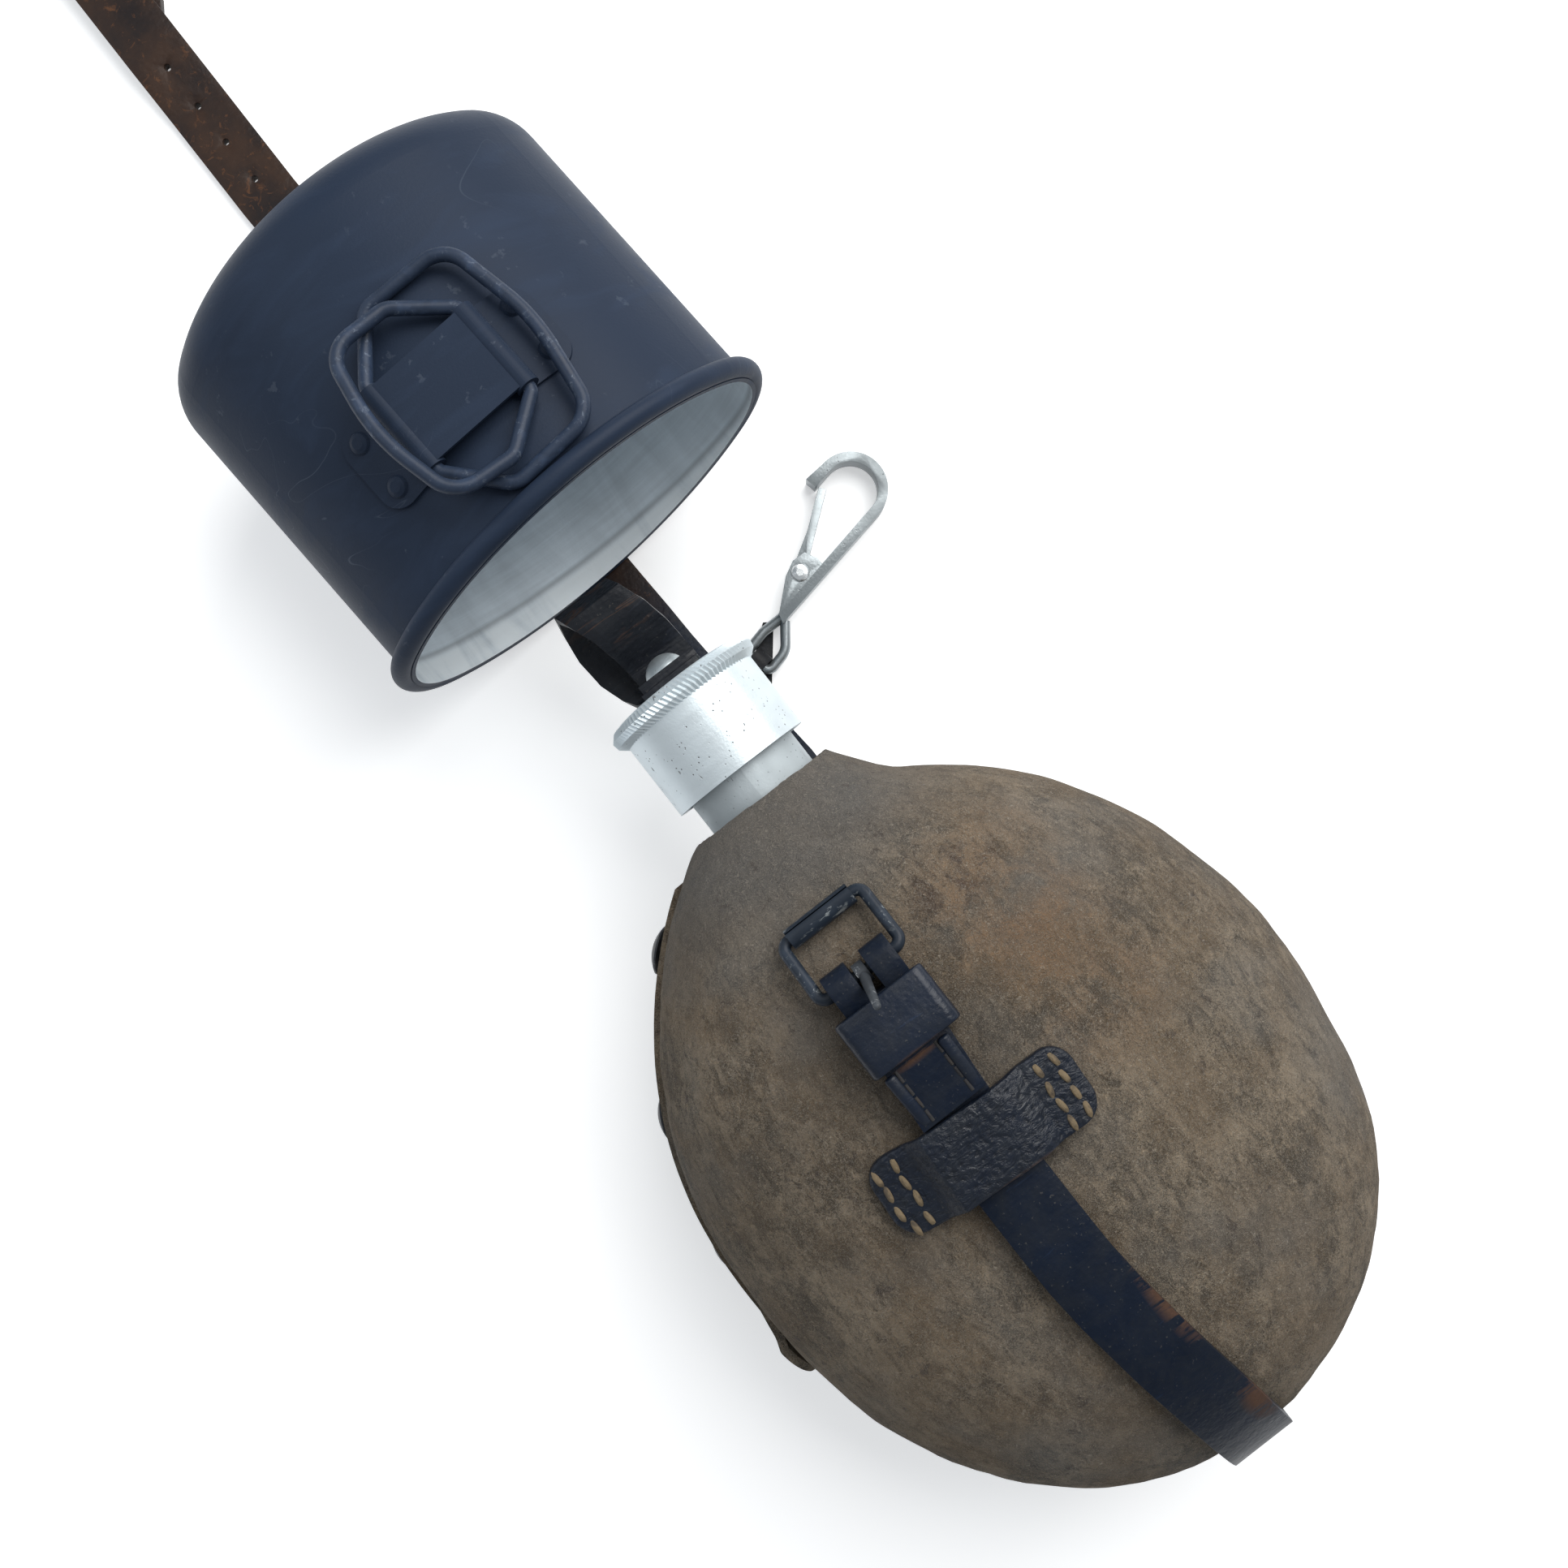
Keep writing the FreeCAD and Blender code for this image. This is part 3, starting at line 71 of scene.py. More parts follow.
# The floor's glow for the camera, the sky's strength, and the lamps: place, size, share of power, colour
FLOOR_GLOW = 0.42
SKY_STRENGTH = 0.36
SKY_COLOUR = (0.93, 0.965, 1.0, 1.0)
LAMP_AIM = Vector((0.0, 0.10, 0.04))
LAMPS = (("key", (0.50, 0.30, 0.62), 0.7, 1.0, (1.0, 0.985, 0.96)),
         ("fill", (-0.34, 0.62, 0.60), 0.6, 0.16, (0.88, 0.94, 1.0)))

# The felt cover, in millimetres: how far the first sphere reaches past it, where its mouth is trimmed,
# how wide and deep the mouth is, and the felt's thickness
COVER_REACH = (4, 4, 14)
MOUTH_TRIM = 0.7
MOUTH_R = 14.6
MOUTH_DEEP = 14
FELT_THICK = 2.4

# The strap's lap, in millimetres: its middle, its rows of stitches and its rolled edges between the
# keeper and the cross loop
LAP_X = -6.8
LAP_STITCH_SIDE = 4.7
LAP_STITCH_YS = (28.6, 31.7, 34.8, 37.9)
LAP_ROLL_SIDE = 6.15
LAP_ROLL_Y = 33.2
LAP_ROLL_LONG = 12.0

# The holes in the strap's tail, in millimetres, where years of use have drawn them half shut
STRAP_HOLES = (291.0, 302.5, 313.5, 324.5)
STRAP_HOLE_X = -5.6

# Where the flap's low end begins to stand off the cover, and by how much at each place, in millimetres
FLAP_END_STEPS = (3.0, 0.5, -2.0, -4.5)
FLAP_END_LIFT = 0.7

# The cross loop's turn, and its rows of four stitches: distance from its middle and first stitch, in mm
CROSS_TURN = math.radians(-3.0)
STITCH_ROWS = ((-20.9, -6.4), (-16.6, -6.0), (16.2, -6.6), (19.8, -6.2))
STITCH_STEP = 3.9

# The neck's thread, in millimetres: the foot of its ridge, the ridge's middle and where it starts
THREAD_FOOT = 13.55
THREAD_MIDDLE = 14.15
THREAD_Y = 107.0

# Rubbed and cracked places, each with its middle and its reach in millimetres
STRAP_SCUFFS = (((2.6, -27, 80), (2.6, 10, 30)), ((4.6, -57, 70), (3.0, 6, 9)),
                ((-6.5, 39.3, 84), (5.0, 1.1, 12)))
KEEPER_SCUFFS = (((-5.5, 39.3, 89), (6, 1.2, 4)),)
CROSS_SCUFFS = (((-6, 8.6, 84), (7, 0.8, 4)),)
CAP_LOOP_CRACKS = (((-2, 149, 44), (14, 6, 12)), ((0, 140, 46), (10, 5, 6)))

# Colours that belong to one stain or one kind of wear, and the painted highlight inside the cup's mouth
FELT_BROWN = (0.160, 0.110, 0.064)
FELT_GREY = (0.150, 0.148, 0.142)
FELT_BLOT = (0.050, 0.030, 0.026)
FELT_SHOULDER = (0.104, 0.100, 0.095)
FELT_RUBBED = (0.062, 0.048, 0.036)
FELT_SPECK = (0.045, 0.034, 0.030)
# Below, the blue cast of the leather, paint, wire, cup and lacquer colours is partly the sky's blue light,
# painted in over their own colour
LEATHER_HAZE = (0.017, 0.020, 0.025)
LEATHER_DUST = (0.10, 0.095, 0.085)
FLESH_DARK = (0.016, 0.012, 0.012)
FLESH_BROWN = (0.040, 0.022, 0.015)
FLESH_RUST = (0.11, 0.048, 0.022)
CAP_LOOP_BLACK = (0.0068, 0.0082, 0.0120)
TIE_BLACK = (0.0095, 0.0095, 0.0105)
PAINT_SCRATCH = (0.20, 0.24, 0.30)
PAINT_RUBBED = (0.10, 0.12, 0.155)
CUP_SILVER = (0.80, 0.88, 0.94)
# Painted highlight: the pale band just inside the cup's mouth
CUP_LIP_HIGHLIGHT = (0.90, 0.95, 0.97)
WIRE_BARE = (0.22, 0.26, 0.32)
METAL_PIT = (0.17, 0.175, 0.18)
THREAD_DIRT = (0.04, 0.032, 0.026)
LACQUER = (0.013, 0.019, 0.029)
LACQUER_BARE = (0.36, 0.39, 0.40)


# ---------------------------------------------------------------- settings

class FlaskSizes(bpy.types.PropertyGroup):
    felt_wave: bpy.props.FloatProperty(
        name="Felt waves", description="Height of the felt's broad soft waves",
        default=0.9 * MM, min=0.0, max=3 * MM, unit="LENGTH")
    felt_nap: bpy.props.FloatProperty(
        name="Felt nap", description="Height of the felt's small lumps",
        default=0.35 * MM, min=0.0, max=1 * MM, unit="LENGTH")
    edge_round: bpy.props.FloatProperty(
        name="Leather edge", description="Rounding of the leather's worn edges",
        default=0.55 * MM, min=0.1 * MM, max=1 * MM, unit="LENGTH")
    stitch_long: bpy.props.FloatProperty(
        name="Stitch length", description="Length of one stitch of the cross loop",
        default=3.9 * MM, min=1 * MM, max=5 * MM, unit="LENGTH")
    thread_pitch: bpy.props.FloatProperty(
        name="Neck thread pitch", description="Rise of the neck's thread in one turn",
        default=4.0 * MM, min=1 * MM, max=6 * MM, unit="LENGTH")
    key_power: bpy.props.FloatProperty(
        name="Key light", description="Power of the large soft lamp",
        default=7.6, min=0.0, max=20.0, unit="POWER")


def shade(colour, factor):
    """The colour made darker or lighter."""
    return tuple(c * factor for c in colour)


def colour_setting(label, words, value):
    return bpy.props.FloatVectorProperty(
        name=label, description=words, default=value, min=0.0, max=1.0, size=3, subtype="COLOR")


# The blue cast of the leather, paint and aluminium colours is partly the sky's blue light, painted in over
# their own colour
class FlaskColours(bpy.types.PropertyGroup):
    felt: colour_setting("Felt", "Middle tone of the felt", (0.164, 0.130, 0.092))
    felt_light: colour_setting("Felt fibres", "Pale fibres of the felt", (0.46, 0.41, 0.34))
    rust: colour_setting("Rust stain", "Stain to the right of the buckle", (0.200, 0.122, 0.068))
    leather: colour_setting("Leather", "Blue-black strap leather", (0.0042, 0.0080, 0.0175))
    leather_worn: colour_setting("Worn leather", "Brown where the black has gone", (0.056, 0.031, 0.021))
    paint: colour_setting("Cup paint", "Matt blue-grey paint of the cup", (0.0175, 0.0275, 0.0500))
    aluminium: colour_setting("Aluminium", "Pale aluminium of the cap", (0.74, 0.82, 0.86))
    stitches: colour_setting("Thread", "Ochre thread of the cross loop", (0.175, 0.130, 0.075))


# ---------------------------------------------------------------- shader maths

class Tone:
    """One socket of a material; arithmetic on it adds Math nodes."""

    def __init__(self, finish, socket):
        self.finish = finish
        self.socket = socket

    def math(self, operation, *values):
        slots = {i: value for i, value in enumerate(values)}
        return self.finish.node("ShaderNodeMath", {"operation": operation}, slots)

    def __add__(self, other):
        return self.math("ADD", self, other)

    def __radd__(self, other):
        return self.math("ADD", other, self)

    def __sub__(self, other):
        return self.math("SUBTRACT", self, other)

    def __rsub__(self, other):
        return self.math("SUBTRACT", other, self)

    def __mul__(self, other):
        return self.math("MULTIPLY", self, other)

    def __rmul__(self, other):
        return self.math("MULTIPLY", other, self)

    def __truediv__(self, other):
        return self.math("DIVIDE", self, other)

    def held(self):
        """The value kept between 0 and 1."""
        return self.math("MINIMUM", self.math("MAXIMUM", self, 0.0), 1.0)

    def over(self, edge, soft=0.05):
        """1 where the value is above an edge, with a soft step."""
        return ((self - edge) / soft + 0.5).held()

    def under(self, edge, soft=0.05):
        return 1.0 - self.over(edge, soft)

    def line(self, middle, sharp):
        """1 along the thin line where the value passes a middle, and 0 beside it."""
        away = self - middle
        return (1.0 - away.math("ABSOLUTE", away) * sharp).held()


class Finish:
    """One procedural material, built node by node."""

    def __init__(self, name, **shader):
        self.material = bpy.data.materials.new(name)
        self.material.use_nodes = True
        self.tree = self.material.node_tree
        self.shader = self.tree.nodes["Principled BSDF"]
        for label, value in shader.items():
            self.shader.inputs[label.replace("_", " ")].default_value = value
        self.place = self.node("ShaderNodeTexCoord", {}, {}, "Object")

    def node(self, kind, settings, sockets, output=0):
        """Add any node: its settings first, then the values or links of its sockets."""
        made = self.tree.nodes.new(kind)
        for label, value in settings.items():
            setattr(made, label, value)
        for label, value in sockets.items():
            if isinstance(value, Tone):
                self.tree.links.new(value.socket, made.inputs[label])
            else:
                made.inputs[label].default_value = value
        return Tone(self, made.outputs[output])

    def feed(self, label, tone):
        self.tree.links.new(tone.socket, self.shader.inputs[label])

    def noise(self, scale, detail=2.0, rough=0.5, bend=0.0, stretch=None, seed=0.0):
        where = self.place
        if stretch or seed:
            where = self.node("ShaderNodeMapping", {}, {
                "Vector": where, "Scale": stretch or (1, 1, 1), "Location": (seed, seed * 0.7, -seed)})
        return self.node("ShaderNodeTexNoise", {}, {
            "Vector": where, "Scale": scale, "Detail": detail, "Roughness": rough, "Distortion": bend})

    def cells(self, scale, feature="F1", seed=0.0):
        where = self.place
        if seed:
            where = self.node("ShaderNodeMapping", {}, {"Vector": where, "Location": (seed, seed, seed)})
        sockets = {"Vector": where, "Scale": scale}
        return self.node("ShaderNodeTexVoronoi", {"feature": feature}, sockets, "Distance")

    def along(self, axis):
        """One coordinate of the surface, in metres."""
        return self.node("ShaderNodeSeparateXYZ", {}, {"Vector": self.place}, axis)

    def spot(self, centre, reach, soft=0.5):
        """1 inside an oval spot given in millimetres, fading out over its edge."""
        scale = tuple(1 / (size * MM) for size in reach)
        offset = tuple(-c * MM * s for c, s in zip(centre, scale))
        where = self.node("ShaderNodeMapping", {}, {
            "Vector": self.place, "Scale": scale, "Location": offset})
        far = self.node("ShaderNodeVectorMath", {"operation": "LENGTH"}, {0: where}, "Value")
        return far.under(1.0, soft)

    def facing(self, centre, axes=(1.0, 1.0, 1.0)):
        """Above 0 where the surface looks away from a point in millimetres, by the axes that count."""
        out = self.node("ShaderNodeVectorMath", {"operation": "SUBTRACT"}, {
            0: self.place, 1: tuple(c * MM for c in centre)})
        out = self.node("ShaderNodeVectorMath", {"operation": "MULTIPLY"}, {0: out, 1: axes})
        normal = self.node("ShaderNodeNewGeometry", {}, {}, "Normal")
        return self.node("ShaderNodeVectorMath", {"operation": "DOT_PRODUCT"}, {
            0: out, 1: normal}, "Value")

    def blend(self, share, first, second):
        """Colour that goes from the first to the second as share goes from 0 to 1."""
        sockets = {0: share}
        for index, colour in ((6, first), (7, second)):
            sockets[index] = colour if isinstance(colour, Tone) else tuple(colour) + (1.0,)
        return self.node("ShaderNodeMix", {"data_type": "RGBA"}, sockets, 2)

    def relief(self, height, distance, strength=1.0, under=None):
        sockets = {"Height": height, "Distance": distance, "Strength": strength}
        if under is not None:
            sockets["Normal"] = under
        return self.node("ShaderNodeBump", {}, sockets)


def felt_finish(name, colours, stained):
    """Matted wool felt: mottled browns, curling pale fibres, dark specks and old stains."""
    f = Finish(name, Roughness=0.95, Sheen_Weight=0.08, Sheen_Roughness=0.6, Specular_IOR_Level=0.1)
    broad = f.noise(17, 3, 0.6)
    patch = f.noise(105, 4, 0.62, 0.5)
    streak = f.noise(400, 4, 0.7, 1.0, stretch=(1.0, 0.42, 1.0))
    nap = f.noise(1500, 3, 0.78, 2.0, seed=3.0)
    curl = f.noise(470, 2, 0.5, 5.0, seed=8.0)
    middle = tuple(colours.felt)
    level = (broad - 0.5) * 1.3 + (patch - 0.5) * 2.1
    level = level + (streak - 0.5) * 2.6 + (nap - 0.5) * 3.2 + 0.5
    colour = f.blend(level.held(), shade(middle, 0.40), shade(middle, 1.66))
    brown = (f.noise(48, 3, 0.6, seed=15.0).over(0.52, 0.2) * 0.5).held()
    colour = f.blend(brown, colour, FELT_BROWN)
    grey = (f.noise(30, 3, 0.6, seed=5.0).over(0.56, 0.2) * 0.45).held()
    colour = f.blend(grey, colour, FELT_GREY)
    if stained:
        rusty = patch.over(0.46, 0.25) * (nap * 0.6 + streak * 0.4).over(0.42, 0.3)
        stain = f.spot((24, 53, 76), (15, 14, 40), 1.0) * 0.9
        stain = stain + f.spot((29, 29, 80), (13, 15, 40), 1.0) * 0.75
        colour = f.blend((stain * rusty).held(), colour, tuple(colours.rust))
        blot = f.spot((20, 60, 74), (9, 5, 30), 0.9) * patch.under(0.47, 0.06) * 0.65
        colour = f.blend(blot.held(), colour, FELT_BLOT)
        shoulder = f.spot((-2, 90, 66), (38, 20, 40), 0.9) * broad.over(0.33, 0.3) * 0.8
        colour = f.blend(shoulder.held(), colour, FELT_SHOULDER)
        rubbed = f.spot((-6, 34, 84), (15, 30, 30), 1.0) * (patch * 0.5 + streak * 0.5).over(0.44, 0.2)
        colour = f.blend((rubbed * 0.55).held(), colour, FELT_RUBBED)
    specks = f.noise(330, 3, 0.6, 0.8, seed=2.0).over(0.64, 0.06)
    specks = specks * f.noise(46, 2, 0.5, seed=7.0).over(0.50, 0.1)
    colour = f.blend((specks * 0.6).held(), colour, FELT_SPECK)
    fibre = curl.line(0.5, 20.0) * nap.over(0.44, 0.15)
    colour = f.blend((fibre * 0.55).held(), colour, tuple(colours.felt_light))
    gap = curl.under(0.36, 0.06) * nap.under(0.5, 0.2) * 0.5
    colour = f.blend(gap.held(), colour, shade(middle, 0.30))
    f.feed("Base Color", colour)
    low = f.relief(patch + streak * 0.6, 0.0015, 0.75)
    f.feed("Normal", f.relief(nap * 0.7 + fibre * 0.25 + streak * 0.4, 0.00065, 0.9, low))
    return f.material


def leather_finish(name, base, worn, scuffs=(), crease=0.35, gloss=0.42, shine=0.16, pebble=0.0,
                   cracked=(), flesh=None):
    """Blackened leather: fine grain, dust, scratches across it and brown where it is rubbed."""
    f = Finish(name, Roughness=gloss, Specular_IOR_Level=shine)
    grain = f.cells(900, "SMOOTH_F1")
    pores = f.noise(1400, 3, 0.6)
    cloud = f.noise(70, 4, 0.6)
    lines = f.noise(260, 4, 0.65, 0.6, stretch=(0.25, 1.6, 1.0), seed=4.0)
    colour = f.blend(cloud.held(), shade(base, 0.7), shade(base, 1.7))
    scratch = lines.over(0.66, 0.05) * cloud.over(0.45, 0.2)
    colour = f.blend((scratch * 0.4).held(), colour, shade(base, 4.0))
    haze = f.noise(150, 4, 0.68, 0.6, seed=19.0).over(0.52, 0.25) * 0.5
    colour = f.blend(haze.held(), colour, LEATHER_HAZE)
    dust = pores.over(0.68, 0.05) * cloud.over(0.42, 0.2)
    colour = f.blend((dust * 0.45).held(), colour, LEATHER_DUST)
    if flesh:
        from_y, below_z = flesh
        side = f.along("Y").over(from_y * MM, 0.02) * f.along("Z").under(below_z * MM, 0.001)
        rusty = f.blend(cloud.over(0.5, 0.25), FLESH_DARK, FLESH_BROWN)
        rusty = f.blend(f.noise(330, 4, 0.7, 1.0).over(0.62, 0.1) * 0.7, rusty, FLESH_RUST)
        colour = f.blend(side, colour, rusty)
    bare = None
    for centre, reach in scuffs:
        mark = f.spot(centre, reach, 0.9) * (lines * 0.6 + cloud * 0.4).over(0.49, 0.05)
        bare = mark if bare is None else bare + mark
    for centre, reach in cracked:
        split = f.noise(120, 3, 0.6, 0.8, stretch=(0.35, 1.9, 0.5), seed=1.0).line(0.5, 34.0)
        split = split * f.spot(centre, reach, 0.9)
        bare = split * 0.8 if bare is None else bare + split * 0.8
    rough = gloss + dust.held() * 0.25 + (cloud - 0.5) * 0.25
    if bare is not None:
        bare = bare.held()
        colour = f.blend(bare, colour, f.blend(pores, tuple(worn), shade(worn, 1.7)))
        rough = rough + bare * 0.35
    low = f.relief(lines * crease + cloud * 0.35, 0.0007, 0.5)
    if pebble:
        bumps = f.cells(760, "SMOOTH_F1", seed=3.0) * 0.6
        bumps = bumps + f.noise(480, 3, 0.65, 1.5, stretch=(0.7, 1.2, 1.0))
        low = f.relief(bumps, 0.0006 * pebble, 0.8, low)
        hollow = bumps.under(0.62, 0.2) * 0.5
        colour = f.blend(hollow.held(), colour, shade(base, 0.4))
    f.feed("Base Color", colour)
    f.feed("Roughness", rough)
    f.feed("Normal", f.relief(grain * 0.6 + pores * 0.5, 0.00022, 0.6, low))
    return f.material


def paint_finish(name, base, inside=None, centre=(0, 0, 0), mouth=0.0, scratch=1.0):
    """Matt stoved paint with pale hair scratches and rubbed places; bare metal inside."""
    f = Finish(name, Specular_IOR_Level=0.12)
    cloud = f.noise(22, 3, 0.5)
    fine = f.noise(1600, 2, 0.5)
    drift = f.noise(9, 2, 0.4, 0.0, seed=2.0)
    colour = f.blend(cloud.held(), shade(base, 0.82), shade(base, 1.22))
    hair = f.noise(34, 1, 0.3, 2.2, stretch=(1.0, 0.45, 1.0), seed=6.0).line(0.5, 300.0)
    hair = hair * drift.over(0.58, 0.06)
    across = f.noise(52, 1, 0.3, 1.4, stretch=(0.5, 1.0, 1.0), seed=11.0).line(0.47, 380.0)
    across = across * drift.under(0.43, 0.05)
    marks = ((hair + across * 0.7) * scratch * 0.26).held()
    colour = f.blend(marks, colour, PAINT_SCRATCH)
    rub = f.noise(240, 4, 0.7, seed=9.0).over(0.66, 0.05) * cloud.over(0.5, 0.1) * 0.25
    colour = f.blend((rub * scratch).held(), colour, PAINT_RUBBED)
    smear = f.noise(60, 3, 0.6, 0.8, stretch=(0.4, 1.6, 1.0), seed=21.0).over(0.6, 0.2) * 0.28
    colour = f.blend(smear.held(), colour, shade(base, 1.9))
    rough = 0.44 + (cloud - 0.5) * 0.25 + fine * 0.06 + smear * 0.3
    metal = None
    if inside:
        depth = f.along("Y") - mouth * MM
        outward = depth.under(0.005, 0.001) * f.facing(centre, (1.0, 0.0, 1.0)).over(0.0, 0.004)
        footward = depth.under(0.014, 0.002) * f.facing(centre, (0.0, 1.0, 0.0)).under(-0.008, 0.004)
        bare = f.facing(centre).under(0.0, 0.0006) * (1.0 - (outward + footward).held())
        streak = f.noise(80, 4, 0.65, 0.8, stretch=(1.0, 0.18, 1.0), seed=1.0)
        brushed = f.noise(420, 3, 0.6, 0.3, stretch=(0.12, 1.6, 0.12), seed=3.0)
        stain = f.noise(30, 3, 0.6, seed=14.0)
        drawn = (streak * 0.6 + brushed * 0.4).over(0.5, 0.35)
        silver = f.blend(drawn, shade(inside, 0.74), inside)
        silver = f.blend((stain.over(0.60, 0.15) * 0.3).held(), silver, shade(inside, 0.45))
        # Painted shade: a dark line 6.5 to 7.8 mm in from the mouth
        lip_shade_line = depth.over(0.0065, 0.001) * depth.under(0.0078, 0.001)
        silver = f.blend((lip_shade_line * 0.55).held(), silver, shade(inside, 0.30))
        # Painted highlight: a bright band just inside the mouth, broken up by the streaks
        lip_highlight = depth.under(0.0065, 0.002) * streak.over(0.42, 0.2)
        silver = f.blend((lip_highlight * 0.8).held(), silver, CUP_LIP_HIGHLIGHT)
        colour = f.blend(bare, colour, silver)
        rough = rough * (1.0 - bare) + bare * (0.30 + streak * 0.25)
        metal = bare * 0.2
    f.feed("Base Color", colour)
    f.feed("Roughness", rough)
    if metal is not None:
        f.feed("Metallic", metal)
    f.feed("Normal", f.relief(fine * 0.5 + cloud * 0.5, 0.00015, 0.4))
    return f.material


def aluminium_finish(name, base, pits=1.0, rough=0.42, metal=0.75, dirt=0.4):
    """Dull aluminium with small dark pits, fine scratches and grey dirt."""
    f = Finish(name, Metallic=metal)
    cloud = f.noise(60, 4, 0.6)
    fine = f.noise(1500, 2, 0.6)
    brushed = f.noise(500, 3, 0.6, 0.3, stretch=(0.15, 1.0, 0.15))
    colour = f.blend((cloud * 0.6 + brushed * 0.4).held(), shade(base, 0.84), base)
    hole = f.cells(900, seed=6.0).under(0.15, 0.08) * f.noise(210, 3, 0.6, seed=3.0).over(0.55, 0.08)
    nick = f.noise(520, 2, 0.4, 0.5, stretch=(1.6, 0.5, 1.6), seed=9.0).over(0.745, 0.02)
    dark = ((hole * 0.75 + nick * 0.6) * pits).held()
    colour = f.blend(dark, colour, METAL_PIT)
    grime = (f.noise(35, 3, 0.6, seed=12.0).over(0.58, 0.12) * dirt).held()
    colour = f.blend(grime, colour, shade(base, 0.52))
    f.feed("Base Color", colour)
    f.feed("Roughness", rough + (brushed - 0.5) * 0.2 + grime * 0.2 + dark * 0.3)
    f.feed("Normal", f.relief(fine * 0.5 - dark * 0.9 + brushed * 0.3, 0.00015, 0.6))
    return f.material


def worn_black_finish(name, base, bare, amount=0.6, along=(1.0, 1.0, 1.0)):
    """Black lacquer rubbed through to bare metal in scratches and flecks."""
    f = Finish(name, Specular_IOR_Level=0.25)
    cloud = f.noise(220, 4, 0.65)
    fleck = f.noise(640, 4, 0.7, 0.8, stretch=along, seed=5.0)
    rub = f.noise(120, 3, 0.6, 0.5, stretch=along, seed=17.0)
    gone = (fleck.over(0.60, 0.06) * (cloud * 0.5 + rub * 0.5).over(0.51, 0.07) * amount).held()
    colour = f.blend(cloud.held(), shade(base, 0.65), shade(base, 1.6))
    colour = f.blend((rub.over(0.57, 0.1) * 0.35).held(), colour, shade(base, 2.6))
    f.feed("Base Color", f.blend(gone, colour, bare))
    f.feed("Metallic", gone * 0.7)
    f.feed("Roughness", 0.42 - gone * 0.05 + (cloud - 0.5) * 0.25)
    f.feed("Normal", f.relief(fleck * 0.5 - gone * 0.6 + cloud * 0.4, 0.00014, 0.6))
    return f.material


def plain_finish(name, base, rough, metal=0.0, grain=900):
    """Small hidden or simple metal and rubber pieces, with a fine uneven grain."""
    f = Finish(name, Metallic=metal)
    cloud = f.noise(grain * 0.2, 3, 0.6)
    fine = f.noise(grain, 3, 0.6)
    light = tuple(min(1, c) for c in shade(base, 1.2))
    f.feed("Base Color", f.blend(cloud.held(), shade(base, 0.8), light))
    f.feed("Roughness", rough + (fine - 0.5) * 0.15)
    f.feed("Normal", f.relief(fine, 0.0001, 0.4))
    return f.material


def thread_finish(name, base):
    """Waxed twisted thread, dirty in its hollows."""
    f = Finish(name, Roughness=0.8)
    twist = f.noise(1400, 3, 0.7, 1.5, stretch=(1.0, 0.3, 1.0))
    dirt = f.noise(260, 3, 0.6, seed=4.0)
    colour = f.blend(twist.held(), shade(base, 0.55), shade(base, 1.45))
    f.feed("Base Color", f.blend((dirt.over(0.58, 0.1) * 0.7).held(), colour, THREAD_DIRT))
    f.feed("Normal", f.relief(twist, 0.0003, 0.8))
    return f.material


# ---------------------------------------------------------------- modelling helpers

def only(piece):
    """Select one object alone and make it the active one."""
    if bpy.context.object and bpy.context.object.mode != "OBJECT":
        bpy.ops.object.mode_set(mode="OBJECT")
    bpy.ops.object.select_all(action="DESELECT")
    piece.hide_set(False)
    piece.select_set(True)
    bpy.context.view_layer.objects.active = piece
    return piece


def fresh(name):
    """The primitive just added, under its own name."""
    piece = bpy.context.object
    piece.name = name
    piece.data.name = name
    return only(piece)


def settle(piece):
    """Put the piece's place, turn and size into its mesh."""
    only(piece)
    bpy.ops.object.transform_apply(location=True, rotation=True, scale=True)
    return piece


def shaped(piece, kind, **settings):
    """Add one modifier and apply it."""
    only(piece)
    modifier = piece.modifiers.new(kind.title(), kind)
    for label, value in settings.items():
        setattr(modifier, label, value)
    bpy.ops.object.modifier_apply(modifier=modifier.name)
    return piece


def edit(piece, *steps):
    """Run edit-mode operators, each (operator, settings), on everything in the piece."""
    only(piece)
    bpy.ops.object.mode_set(mode="EDIT")
    bpy.ops.mesh.select_mode(type="VERT")
    bpy.ops.mesh.select_all(action="SELECT")
    for operator, settings in steps:
        operator(**settings)
    bpy.ops.object.mode_set(mode="OBJECT")
    return piece


def choose(piece, test, part="polygons"):
    """Select the faces, edges or points that pass a test, and nothing else."""
    only(piece)
    mesh = piece.data
    for items in (mesh.vertices, mesh.edges, mesh.polygons):
        items.foreach_set("select", [False] * len(items))
    for item in getattr(mesh, part):
        item.select = test(item)
    bpy.ops.object.mode_set(mode="EDIT")
    bpy.ops.mesh.select_mode(type={"polygons": "FACE", "edges": "EDGE", "vertices": "VERT"}[part])


def copy_of(node, name, flat=1.0):
    """A merged copy of a frame node's mesh, with its flat facets joined."""
    piece = bpy.data.objects.new(name, NODES[node].data.copy())
    piece.data.name = name
    bpy.context.scene.collection.objects.link(piece)
    piece.data.materials.clear()
    edit(piece, (bpy.ops.mesh.customdata_custom_splitnormals_clear, {}),
         (bpy.ops.mesh.remove_doubles, {"threshold": 0.000002}),
         (bpy.ops.mesh.dissolve_limited, {"angle_limit": math.radians(flat)}))
    return piece


def ripple(piece, name, size, height, kind="CLOUDS", depth=2):
    """Move the surface in and out by a soft cloud pattern."""
    cloud = bpy.data.textures.new(name, kind)
    cloud.noise_scale = size
    cloud.noise_depth = depth
    shaped(piece, "DISPLACE", texture=cloud, texture_coords="LOCAL", strength=height, mid_level=0.5)
    return piece


def smooth(piece, angle=40.0):
    only(piece)
    bpy.ops.object.shade_smooth_by_angle(angle=math.radians(angle))
    return piece


